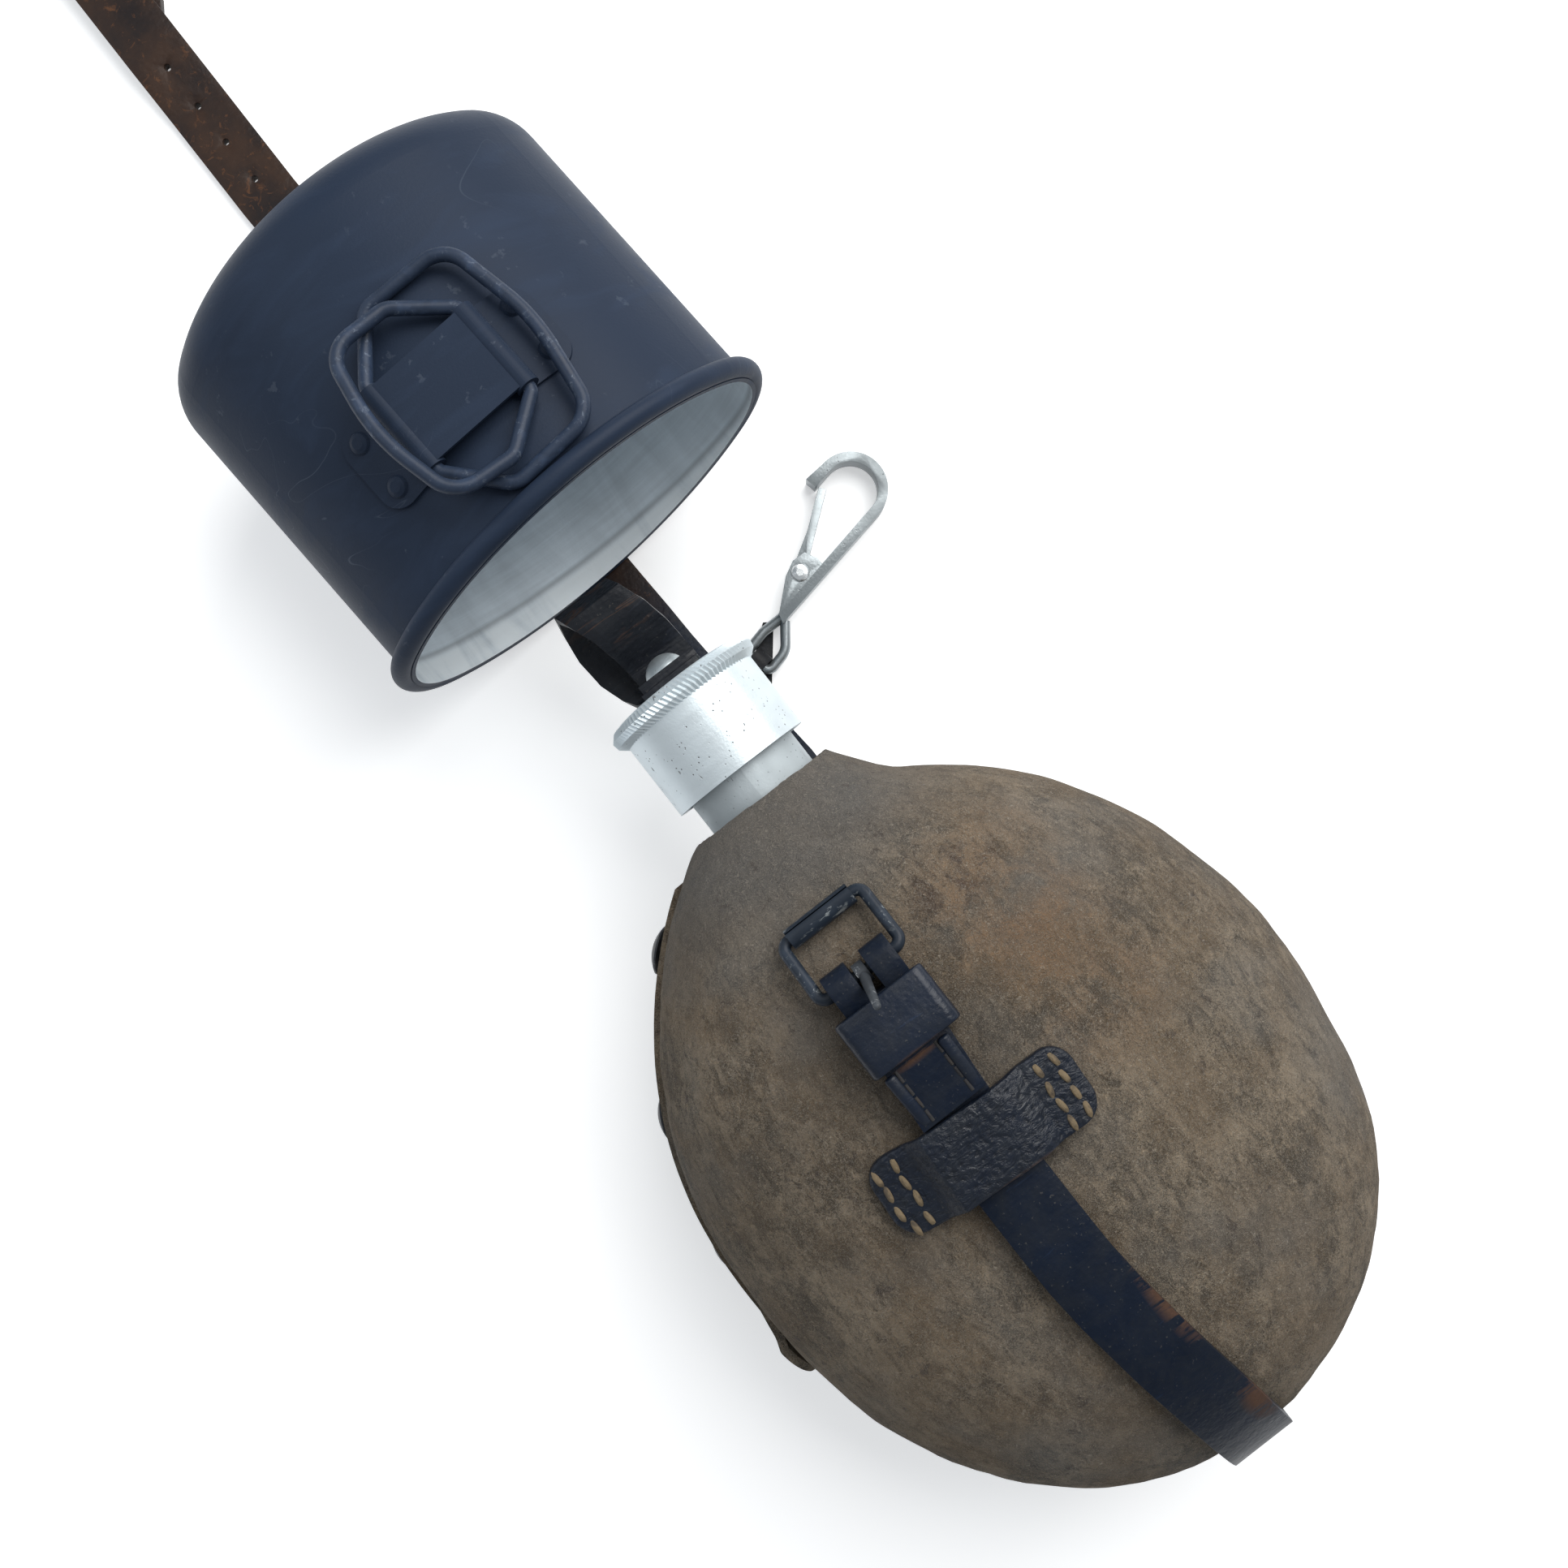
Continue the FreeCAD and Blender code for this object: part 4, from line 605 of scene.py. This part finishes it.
def dress(piece, material, body, slot, *nodes):
    """Give a piece its finish and its body, and hide the nodes that it stands for; the slot is not used.
    """
    piece.data.materials.clear()
    piece.data.materials.append(material)
    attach(piece, body)
    if nodes:
        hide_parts(*nodes)
    return piece


def paint_nodes(material, *names):
    for name in names:
        node = NODES[name]
        if not node.data.materials:
            node.data.materials.append(material)
        for slot in node.material_slots:
            slot.material = material


def drop(node, x, y):
    """Point and outward direction on a node's upper surface at x, y."""
    mesh = NODES[node].data
    tree = BVHTree.FromPolygons([v.co for v in mesh.vertices], [p.vertices for p in mesh.polygons])
    place, normal, _, _ = tree.ray_cast(Vector((x, y, 0.3)), Vector((0, 0, -1)))
    if place is None:
        raise RuntimeError(f"nothing of {node} at {x:.4f}, {y:.4f}")
    return place, normal


def joined(pieces, name):
    """Join copies into one object."""
    only(pieces[0])
    for piece in pieces:
        piece.select_set(True)
    if len(pieces) > 1:
        bpy.ops.object.join()
    pieces[0].name = name
    pieces[0].data.name = name
    return pieces[0]


def leather_piece(node, name, sizes, cuts=2, wave=0.0, wave_size=0.01, bevel=None):
    """Leather strip: the node's form with worn, rounded edges and a slightly uneven face."""
    piece = copy_of(node, name)
    shaped(piece, "BEVEL", width=bevel or sizes.edge_round, segments=2, limit_method="ANGLE",
           angle_limit=math.radians(50), harden_normals=False)
    if cuts:
        edit(piece, (bpy.ops.mesh.quads_convert_to_tris, {}),
             (bpy.ops.mesh.tris_convert_to_quads, {}), (bpy.ops.mesh.subdivide, {"number_cuts": cuts}))
    if wave:
        ripple(piece, name + "_waves", wave_size, wave)
    return smooth(piece, 50)


def metal_piece(node, name, round_off):
    """Pressed metal: the node's form with its edges rounded by wear."""
    piece = copy_of(node, name)
    shaped(piece, "BEVEL", width=round_off, segments=3, limit_method="ANGLE",
           angle_limit=math.radians(40), harden_normals=False)
    return smooth(piece, 45)


# ---------------------------------------------------------------- pieces

class FLASK_OT_stage(bpy.types.Operator):
    """Lay the pale floor, hang the soft lamps and set the camera"""
    bl_idname = "flask.stage"
    bl_label = "Stage"

    def execute(self, context):
        scene = context.scene
        sizes = scene.flask_sizes
        scene.view_settings.view_transform = "Standard"
        bpy.ops.mesh.primitive_plane_add(size=6.0, location=(0.0, 0.15, 0.0))
        floor = fresh("floor")
        paper = Finish("pale_paper", Roughness=0.9, Specular_IOR_Level=0.1)
        paper.shader.inputs["Base Color"].default_value = (0.86, 0.87, 0.88, 1.0)
        paper.shader.inputs["Emission Strength"].default_value = FLOOR_GLOW
        seen = paper.node("ShaderNodeLightPath", {}, {}, "Is Camera Ray")
        mirrored = paper.node("ShaderNodeLightPath", {}, {}, "Is Glossy Ray")
        glow = paper.blend((seen + mirrored).held(), (0.0, 0.0, 0.0), (1.0, 1.0, 1.0))
        paper.feed("Emission Color", glow)
        floor.data.materials.append(paper.material)
        settle(floor)

        world = bpy.data.worlds.new("soft_sky")
        scene.world = world
        world.use_nodes = True
        nodes, links = world.node_tree.nodes, world.node_tree.links
        sky = nodes["Background"]
        sky.inputs["Color"].default_value = SKY_COLOUR
        sky.inputs["Strength"].default_value = SKY_STRENGTH
        white = nodes.new("ShaderNodeBackground")
        white.inputs["Color"].default_value = (1.0, 1.0, 1.0, 1.0)
        both = nodes.new("ShaderNodeMixShader")
        links.new(nodes.new("ShaderNodeLightPath").outputs["Is Camera Ray"], both.inputs["Fac"])
        links.new(sky.outputs["Background"], both.inputs[1])
        links.new(white.outputs["Background"], both.inputs[2])
        links.new(both.outputs["Shader"], nodes["World Output"].inputs["Surface"])

        for name, place, size, share, colour in LAMPS:
            bpy.ops.object.light_add(type="AREA", location=place)
            lamp = context.object
            lamp.name = name
            lamp.data.size = size
            lamp.data.energy = sizes.key_power * share
            lamp.data.color = colour
            lamp.rotation_mode = "QUATERNION"
            lamp.rotation_quaternion = (LAMP_AIM - Vector(place)).to_track_quat("-Z", "Y")

        bpy.ops.object.camera_add(location=CAMERA_AT, rotation=(0.0, 0.0, CAMERA_TURN))
        camera = context.object
        camera.name = "camera"
        camera.data.sensor_fit = "HORIZONTAL"
        camera.data.sensor_width = CAMERA_SENSOR
        camera.data.lens = CAMERA_LENS
        camera.data.clip_start = 0.01
        scene.camera = camera
        return {"FINISHED"}


class FLASK_OT_felt_cover(bpy.types.Operator):
    """Model the felt cover and its closing flap"""
    bl_idname = "flask.felt_cover"
    bl_label = "Felt cover"

    def execute(self, context):
        sizes, colours = context.scene.flask_sizes, context.scene.flask_colours
        felt = felt_finish("old_felt", colours, True)
        middle = (COVER_LOW + COVER_HIGH) / 2
        half = (COVER_HIGH - COVER_LOW) / 2
        bpy.ops.mesh.primitive_uv_sphere_add(
            segments=220, ring_count=132, radius=1.0, location=middle,
            rotation=(math.radians(-90), 0.0, 0.0))
        cover = fresh("felt_skin")
        across, deep, along = (reach * MM for reach in COVER_REACH)
        cover.scale = (half.x + across, half.z + deep, half.y + along)
        settle(cover)
        form = copy_of("felt_cover", "cover_form", 0.05)
        choose(form, lambda face: (face.center - middle).dot(face.normal) < 0.0)
        bpy.ops.mesh.delete(type="FACE")
        bpy.ops.object.mode_set(mode="OBJECT")
        shaped(cover, "SHRINKWRAP", target=form, wrap_method="NEAREST_SURFACEPOINT")
        bpy.data.objects.remove(form)
        top = COVER_HIGH.y

        def in_mouth(point):
            from_axis = math.hypot(point.co.x, point.co.z - NECK_Z)
            return point.co.y > top - MOUTH_DEEP * MM and from_axis < MOUTH_R * MM

        edit(cover, (bpy.ops.mesh.bisect, {
            "plane_co": (0.0, top - MOUTH_TRIM * MM, 0.0), "plane_no": (0.0, 1.0, 0.0),
            "clear_outer": True}))
        choose(cover, in_mouth, "vertices")
        bpy.ops.mesh.delete(type="VERT")
        bpy.ops.object.mode_set(mode="OBJECT")
        shaped(cover, "SMOOTH", factor=0.5, iterations=3)
        ripple(cover, "felt_waves", 0.045, sizes.felt_wave * 2)
        ripple(cover, "felt_lumps", 0.009, sizes.felt_nap * 2)
        shaped(cover, "SOLIDIFY", thickness=FELT_THICK * MM, offset=-1.0)
        smooth(cover, 60)
        dress(cover, felt, "flask_body", "felt", "felt_cover")

        flap = copy_of("side_flap", "felt_flap", 0.5)
        shaped(flap, "BEVEL", width=0.5 * MM, segments=2, limit_method="ANGLE",
               angle_limit=math.radians(50))
        for reach in FLAP_END_STEPS:
            choose(flap, lambda point: point.co.y < reach * MM and point.co.x < -0.05, "vertices")
            bpy.ops.transform.translate(value=(-FLAP_END_LIFT * MM, 0.0, 0.0))
            bpy.ops.object.mode_set(mode="OBJECT")
        ripple(flap, "flap_lumps", 0.008, 0.2 * MM)
        smooth(flap, 50)
        dress(flap, felt_finish("flap_felt", colours, False), "flask_body", "felt_flap", "side_flap")
        return {"FINISHED"}


class FLASK_OT_strap(bpy.types.Operator):
    """Model the carrying strap, its keeper and the stitching of its lap"""
    bl_idname = "flask.strap"
    bl_label = "Carrying strap"

    def execute(self, context):
        sizes, colours = context.scene.flask_sizes, context.scene.flask_colours
        base, worn = tuple(colours.leather), tuple(colours.leather_worn)
        strap = leather_piece("carrying_strap", "strap_leather", sizes, cuts=2)
        for y in STRAP_HOLES:
            middle = Vector((STRAP_HOLE_X, y, 0.0)) * MM
            choose(strap, lambda point: (point.co.xy - middle.xy).length < 2.2 * MM, "vertices")
            bpy.ops.transform.resize(value=(0.5, 0.5, 1.0), center_override=middle)
            bpy.ops.object.mode_set(mode="OBJECT")
        black = leather_finish("strap_black", base, worn, STRAP_SCUFFS, flesh=(150, 12))
        dress(strap, black, "flask_body", "strap_leather", "carrying_strap")
        keeper = leather_piece("strap_keeper", "keeper_leather", sizes, cuts=2, wave=0.25 * MM,
                               wave_size=0.012)
        black = leather_finish("keeper_black", shade(base, 1.15), worn, KEEPER_SCUFFS, gloss=0.34,
                               shine=0.34)
        dress(keeper, black, "flask_body", "keeper_leather", "strap_keeper")

        bpy.ops.mesh.primitive_cylinder_add(vertices=10, radius=0.42 * MM, depth=2.3 * MM,
                                            rotation=(math.radians(90), 0, 0))
        stitch = fresh("lap_stitch")
        settle(stitch)
        choose(stitch, lambda face: abs(face.normal.y) > 0.9)
        bpy.ops.mesh.inset(thickness=0.14 * MM)
        bpy.ops.transform.resize(value=(1.0, 1.12, 1.0))
        bpy.ops.object.mode_set(mode="OBJECT")
        copies = []
        for side in (-LAP_STITCH_SIDE, LAP_STITCH_SIDE):
            for y in LAP_STITCH_YS:
                place, normal = drop("carrying_strap", (LAP_X + side) * MM, y * MM)
                copies.append(seat_copy(stitch, place - normal * 0.18 * MM, normal, Vector((0, 1, 0))))
        bpy.data.objects.remove(stitch)
        rows = smooth(joined(copies, "lap_stitches"))
        dress(rows, thread_finish("dark_thread", (0.022, 0.021, 0.022)), "flask_body", "strap_leather")

        rolls = []
        for side in (-LAP_ROLL_SIDE, LAP_ROLL_SIDE):
            bpy.ops.mesh.primitive_cylinder_add(vertices=20, radius=1.0 * MM, depth=LAP_ROLL_LONG * MM,
                                                rotation=(math.radians(90), 0, 0))
            roll = fresh("lap_roll")
            roll.scale = (1.25, 0.85, 1.0)
            settle(roll)
            shaped(roll, "BEVEL", width=0.7 * MM, segments=3, limit_method="ANGLE",
                   angle_limit=math.radians(60))
            place, normal = drop("carrying_strap", (LAP_X + side) * MM, LAP_ROLL_Y * MM)
            rolls.append(seat_copy(roll, place - normal * 0.1 * MM, normal, Vector((side * 0.004, 1, 0))))
            bpy.data.objects.remove(roll)
        edges = smooth(joined(rolls, "lap_edge_rolls"), 50)
        black = leather_finish("lap_black", shade(base, 1.2), worn, gloss=0.4, shine=0.3)
        dress(edges, black, "flask_body", "strap_leather")
        return {"FINISHED"}


def seat_copy(pattern, place, normal, along):
    """A copy of a piece that lies along a direction on a surface."""
    out = normal.normalized()
    ahead = (along - out * along.dot(out)).normalized()
    side = ahead.cross(out)
    turn = Matrix((side, ahead, out)).transposed().to_4x4()
    copy = bpy.data.objects.new(pattern.name, pattern.data.copy())
    bpy.context.scene.collection.objects.link(copy)
    copy.data.transform(Matrix.Translation(place) @ turn)
    return copy


class FLASK_OT_cross_loop(bpy.types.Operator):
    """Model the sewn leather loop across the strap, with its ochre stitches"""
    bl_idname = "flask.cross_loop"
    bl_label = "Cross loop"

    def execute(self, context):
        sizes, colours = context.scene.flask_sizes, context.scene.flask_colours
        base, worn = tuple(colours.leather), tuple(colours.leather_worn)
        loop = leather_piece("cross_loop", "loop_leather", sizes, cuts=4, wave=0.5 * MM, wave_size=0.009)
        black = leather_finish("loop_black", shade(base, 0.9), worn, CROSS_SCUFFS, crease=1.0, gloss=0.36,
                               shine=0.36, pebble=1.0)
        dress(loop, black, "flask_body", "loop_leather", "cross_loop")

        bpy.ops.mesh.primitive_uv_sphere_add(segments=14, ring_count=8, radius=0.5)
        stitch = fresh("stitch")
        stitch.scale = (1.35 * MM, sizes.stitch_long, 0.95 * MM)
        settle(stitch)
        choose(stitch, lambda point: abs(point.co.y) > 0.3 * sizes.stitch_long, "vertices")
        bpy.ops.transform.translate(value=(0.0, 0.0, -0.28 * MM))
        bpy.ops.object.mode_set(mode="OBJECT")
        along = Vector((math.cos(CROSS_TURN), math.sin(CROSS_TURN), 0.0))
        across = Vector((-along.y, along.x, 0.0))
        centre = (CROSS_LOW + CROSS_HIGH) / 2
        dice = random.Random(4)
        copies = []
        for offset, start in STITCH_ROWS:
            for step in range(4):
                run = (start + step * STITCH_STEP + dice.uniform(-0.3, 0.3)) * MM
                spot = centre + along * (offset + dice.uniform(-0.25, 0.25)) * MM + across * run
                if abs(offset) > 19 and abs(run) > 6.0 * MM:
                    spot = spot - along * math.copysign(1.1 * MM, offset)
                place, normal = drop("cross_loop", spot.x, spot.y)
                lean = across + along * dice.uniform(-0.22, 0.22)
                copies.append(seat_copy(stitch, place + normal * 0.12 * MM, normal, lean))
        bpy.data.objects.remove(stitch)
        rows = smooth(joined(copies, "loop_stitches"), 60)
        dress(rows, thread_finish("ochre_thread", tuple(colours.stitches)), "flask_body", "loop_leather")
        return {"FINISHED"}


class FLASK_OT_neck(bpy.types.Operator):
    """Finish the cap and neck: the leather loop, its rivet and the neck's thread"""
    bl_idname = "flask.neck"
    bl_label = "Cap and neck"

    def execute(self, context):
        sizes, colours = context.scene.flask_sizes, context.scene.flask_colours
        worn, metal = tuple(colours.leather_worn), tuple(colours.aluminium)
        loop = leather_piece("cap_loop", "cap_loop_leather", sizes, cuts=3, wave=0.35 * MM,
                             wave_size=0.010, bevel=0.4 * MM)
        black = leather_finish("cap_loop_black", CAP_LOOP_BLACK, worn, crease=1.0, gloss=0.44, shine=0.28,
                               cracked=CAP_LOOP_CRACKS)
        dress(loop, black, "loop_body", "cap_leather", "cap_loop")
        paint_nodes(aluminium_finish("cap_metal", metal, 1.4, 0.44, 0.55, 0.25), "cap")
        paint_nodes(aluminium_finish("flask_metal", shade(metal, 0.66), 0.9, 0.62, 0.5), "flask")
        rivet = aluminium_finish("rivet_metal", shade(metal, 0.8), 0.8, 0.36, 0.8)
        paint_nodes(rivet, "cap_rivet", "cap_washer")
        paint_nodes(plain_finish("seal_rubber", (0.10, 0.06, 0.05), 0.75), "cap_gasket")

        bpy.ops.mesh.primitive_plane_add(size=1.0)
        ridge = fresh("neck_thread")
        ridge.scale = (1.2 * MM, 1.7 * MM, 1.0)
        ridge.location = (THREAD_FOOT * MM, 0.0, 0.0)
        settle(ridge)
        choose(ridge, lambda point: point.co.x > THREAD_FOOT * MM, "vertices")
        bpy.ops.transform.resize(value=(1.0, 0.35, 1.0), center_override=(THREAD_MIDDLE * MM, 0, 0))
        bpy.ops.transform.translate(value=(-0.05 * MM, 0, 0))
        bpy.ops.object.mode_set(mode="OBJECT")
        shaped(ridge, "SCREW", axis="Y", steps=96, render_steps=96, iterations=3,
               screw_offset=sizes.thread_pitch, angle=math.radians(360), use_normal_calculate=True)
        ridge.location = (0.0, THREAD_Y * MM, NECK_Z)
        settle(ridge)
        edit(ridge, (bpy.ops.mesh.remove_doubles, {"threshold": 0.000001}),
             (bpy.ops.mesh.normals_make_consistent, {"inside": False}))
        smooth(ridge, 35)
        dress(ridge, aluminium_finish("thread_metal", shade(metal, 0.78), 0.3, 0.4, 0.7),
              "flask_body", "bare_aluminium")
        return {"FINISHED"}


class FLASK_OT_hook(bpy.types.Operator):
    """Finish the snap hook and the leather tie that holds it"""
    bl_idname = "flask.hook"
    bl_label = "Snap hook"

    def execute(self, context):
        sizes, colours = context.scene.flask_sizes, context.scene.flask_colours
        metal = shade(colours.aluminium, 0.42)
        tie = leather_piece("hook_tie", "tie_leather", sizes, cuts=2, wave=0.25 * MM, wave_size=0.01,
                            bevel=0.35 * MM)
        black = leather_finish("tie_black", TIE_BLACK, tuple(colours.leather_worn), gloss=0.5)
        dress(tie, black, "flask_body", "tie_leather", "hook_tie")
        bow = metal_piece("hook_body", "hook_bow", 0.5 * MM)
        dress(bow, aluminium_finish("hook_metal", metal, 0.7, 0.36, 0.8, 0.7), "hook_frame",
              "bare_aluminium", "hook_body")
        gate = metal_piece("hook_gate", "hook_tongue", 0.4 * MM)
        bright = aluminium_finish("gate_metal", shade(metal, 1.12), 0.6, 0.34, 0.8, 0.7)
        dress(gate, bright, "gate_body", "bare_aluminium", "hook_gate")
        paint_nodes(plain_finish("rivet_bright", (0.74, 0.77, 0.79), 0.28, 0.85), "hook_rivet")
        paint_nodes(plain_finish("spring_grey", (0.32, 0.32, 0.33), 0.35, 0.9), "hook_spring")
        return {"FINISHED"}


class FLASK_OT_buckle(bpy.types.Operator):
    """Finish the buckle's frame, roller and prong and the press studs"""
    bl_idname = "flask.buckle"
    bl_label = "Buckle and studs"

    def execute(self, context):
        for node, name, black, bare, amount, along in (
                ("buckle_frame", "buckle_lacquer", LACQUER, LACQUER_BARE, 0.6, (1.0, 1.0, 1.0)),
                ("buckle_roller", "roller_lacquer", LACQUER, LACQUER_BARE, 0.8, (0.35, 1.2, 1.2)),
                ("buckle_prong", "prong_steel", (0.040, 0.045, 0.052), (0.55, 0.58, 0.60), 0.8, (1, 1, 1)),
                ("snap_caps", "stud_lacquer", (0.022, 0.024, 0.028), (0.24, 0.25, 0.26), 0.5, (1, 1, 1))):
            paint_nodes(worn_black_finish(name, black, bare, amount, along), node)
        paint_nodes(plain_finish("stud_steel", (0.35, 0.35, 0.36), 0.45, 0.8), "snap_studs")
        return {"FINISHED"}


class FLASK_OT_cup(bpy.types.Operator):
    """Finish the drinking cup, its bracket, rivets and folding handles"""
    bl_idname = "flask.cup"
    bl_label = "Drinking cup"

    def execute(self, context):
        colours = context.scene.flask_colours
        paint = tuple(colours.paint)
        middle = (CUP_LOW + CUP_HIGH) / 2 / MM
        paint_nodes(paint_finish("cup_paint", paint, CUP_SILVER, tuple(middle), CUP_LOW.y / MM), "cup")
        bracket = paint_finish("bracket_paint", shade(paint, 0.92), scratch=1.3)
        paint_nodes(bracket, "cup_bracket", "cup_rivets")
        for side in ("outer", "inner"):
            wire = worn_black_finish(side + "_wire_paint", shade(paint, 1.06), WIRE_BARE, 0.3)
            paint_nodes(wire, side + "_handle")
        return {"FINISHED"}


# ---------------------------------------------------------------- panel and order of work

class FLASK_PT_panel(bpy.types.Panel):
    """Steps that dress the field flask"""
    bl_idname = "FLASK_PT_panel"
    bl_label = "Field Flask"
    bl_space_type = "VIEW_3D"
    bl_region_type = "UI"
    bl_category = "Field Flask"

    def draw(self, context):
        for group in (context.scene.flask_sizes, context.scene.flask_colours):
            box = self.layout.box()
            for label in group.bl_rna.properties.keys():
                if label not in {"rna_type", "name"}:
                    box.prop(group, label)
        for step in STEPS:
            self.layout.operator(step.bl_idname)


STEPS = (FLASK_OT_stage, FLASK_OT_felt_cover, FLASK_OT_strap, FLASK_OT_cross_loop, FLASK_OT_neck,
         FLASK_OT_hook, FLASK_OT_buckle, FLASK_OT_cup)
CLASSES = (FlaskSizes, FlaskColours, *STEPS, FLASK_PT_panel)


def register():
    for item in CLASSES:
        bpy.utils.register_class(item)
    bpy.types.Scene.flask_sizes = bpy.props.PointerProperty(type=FlaskSizes)
    bpy.types.Scene.flask_colours = bpy.props.PointerProperty(type=FlaskColours)


def unregister():
    del bpy.types.Scene.flask_colours
    del bpy.types.Scene.flask_sizes
    for item in reversed(CLASSES):
        bpy.utils.unregister_class(item)


def main():
    register()
    for step in STEPS:
        family, action = step.bl_idname.split(".")
        getattr(getattr(bpy.ops, family), action)()


if __name__ == "__main__":
    main()
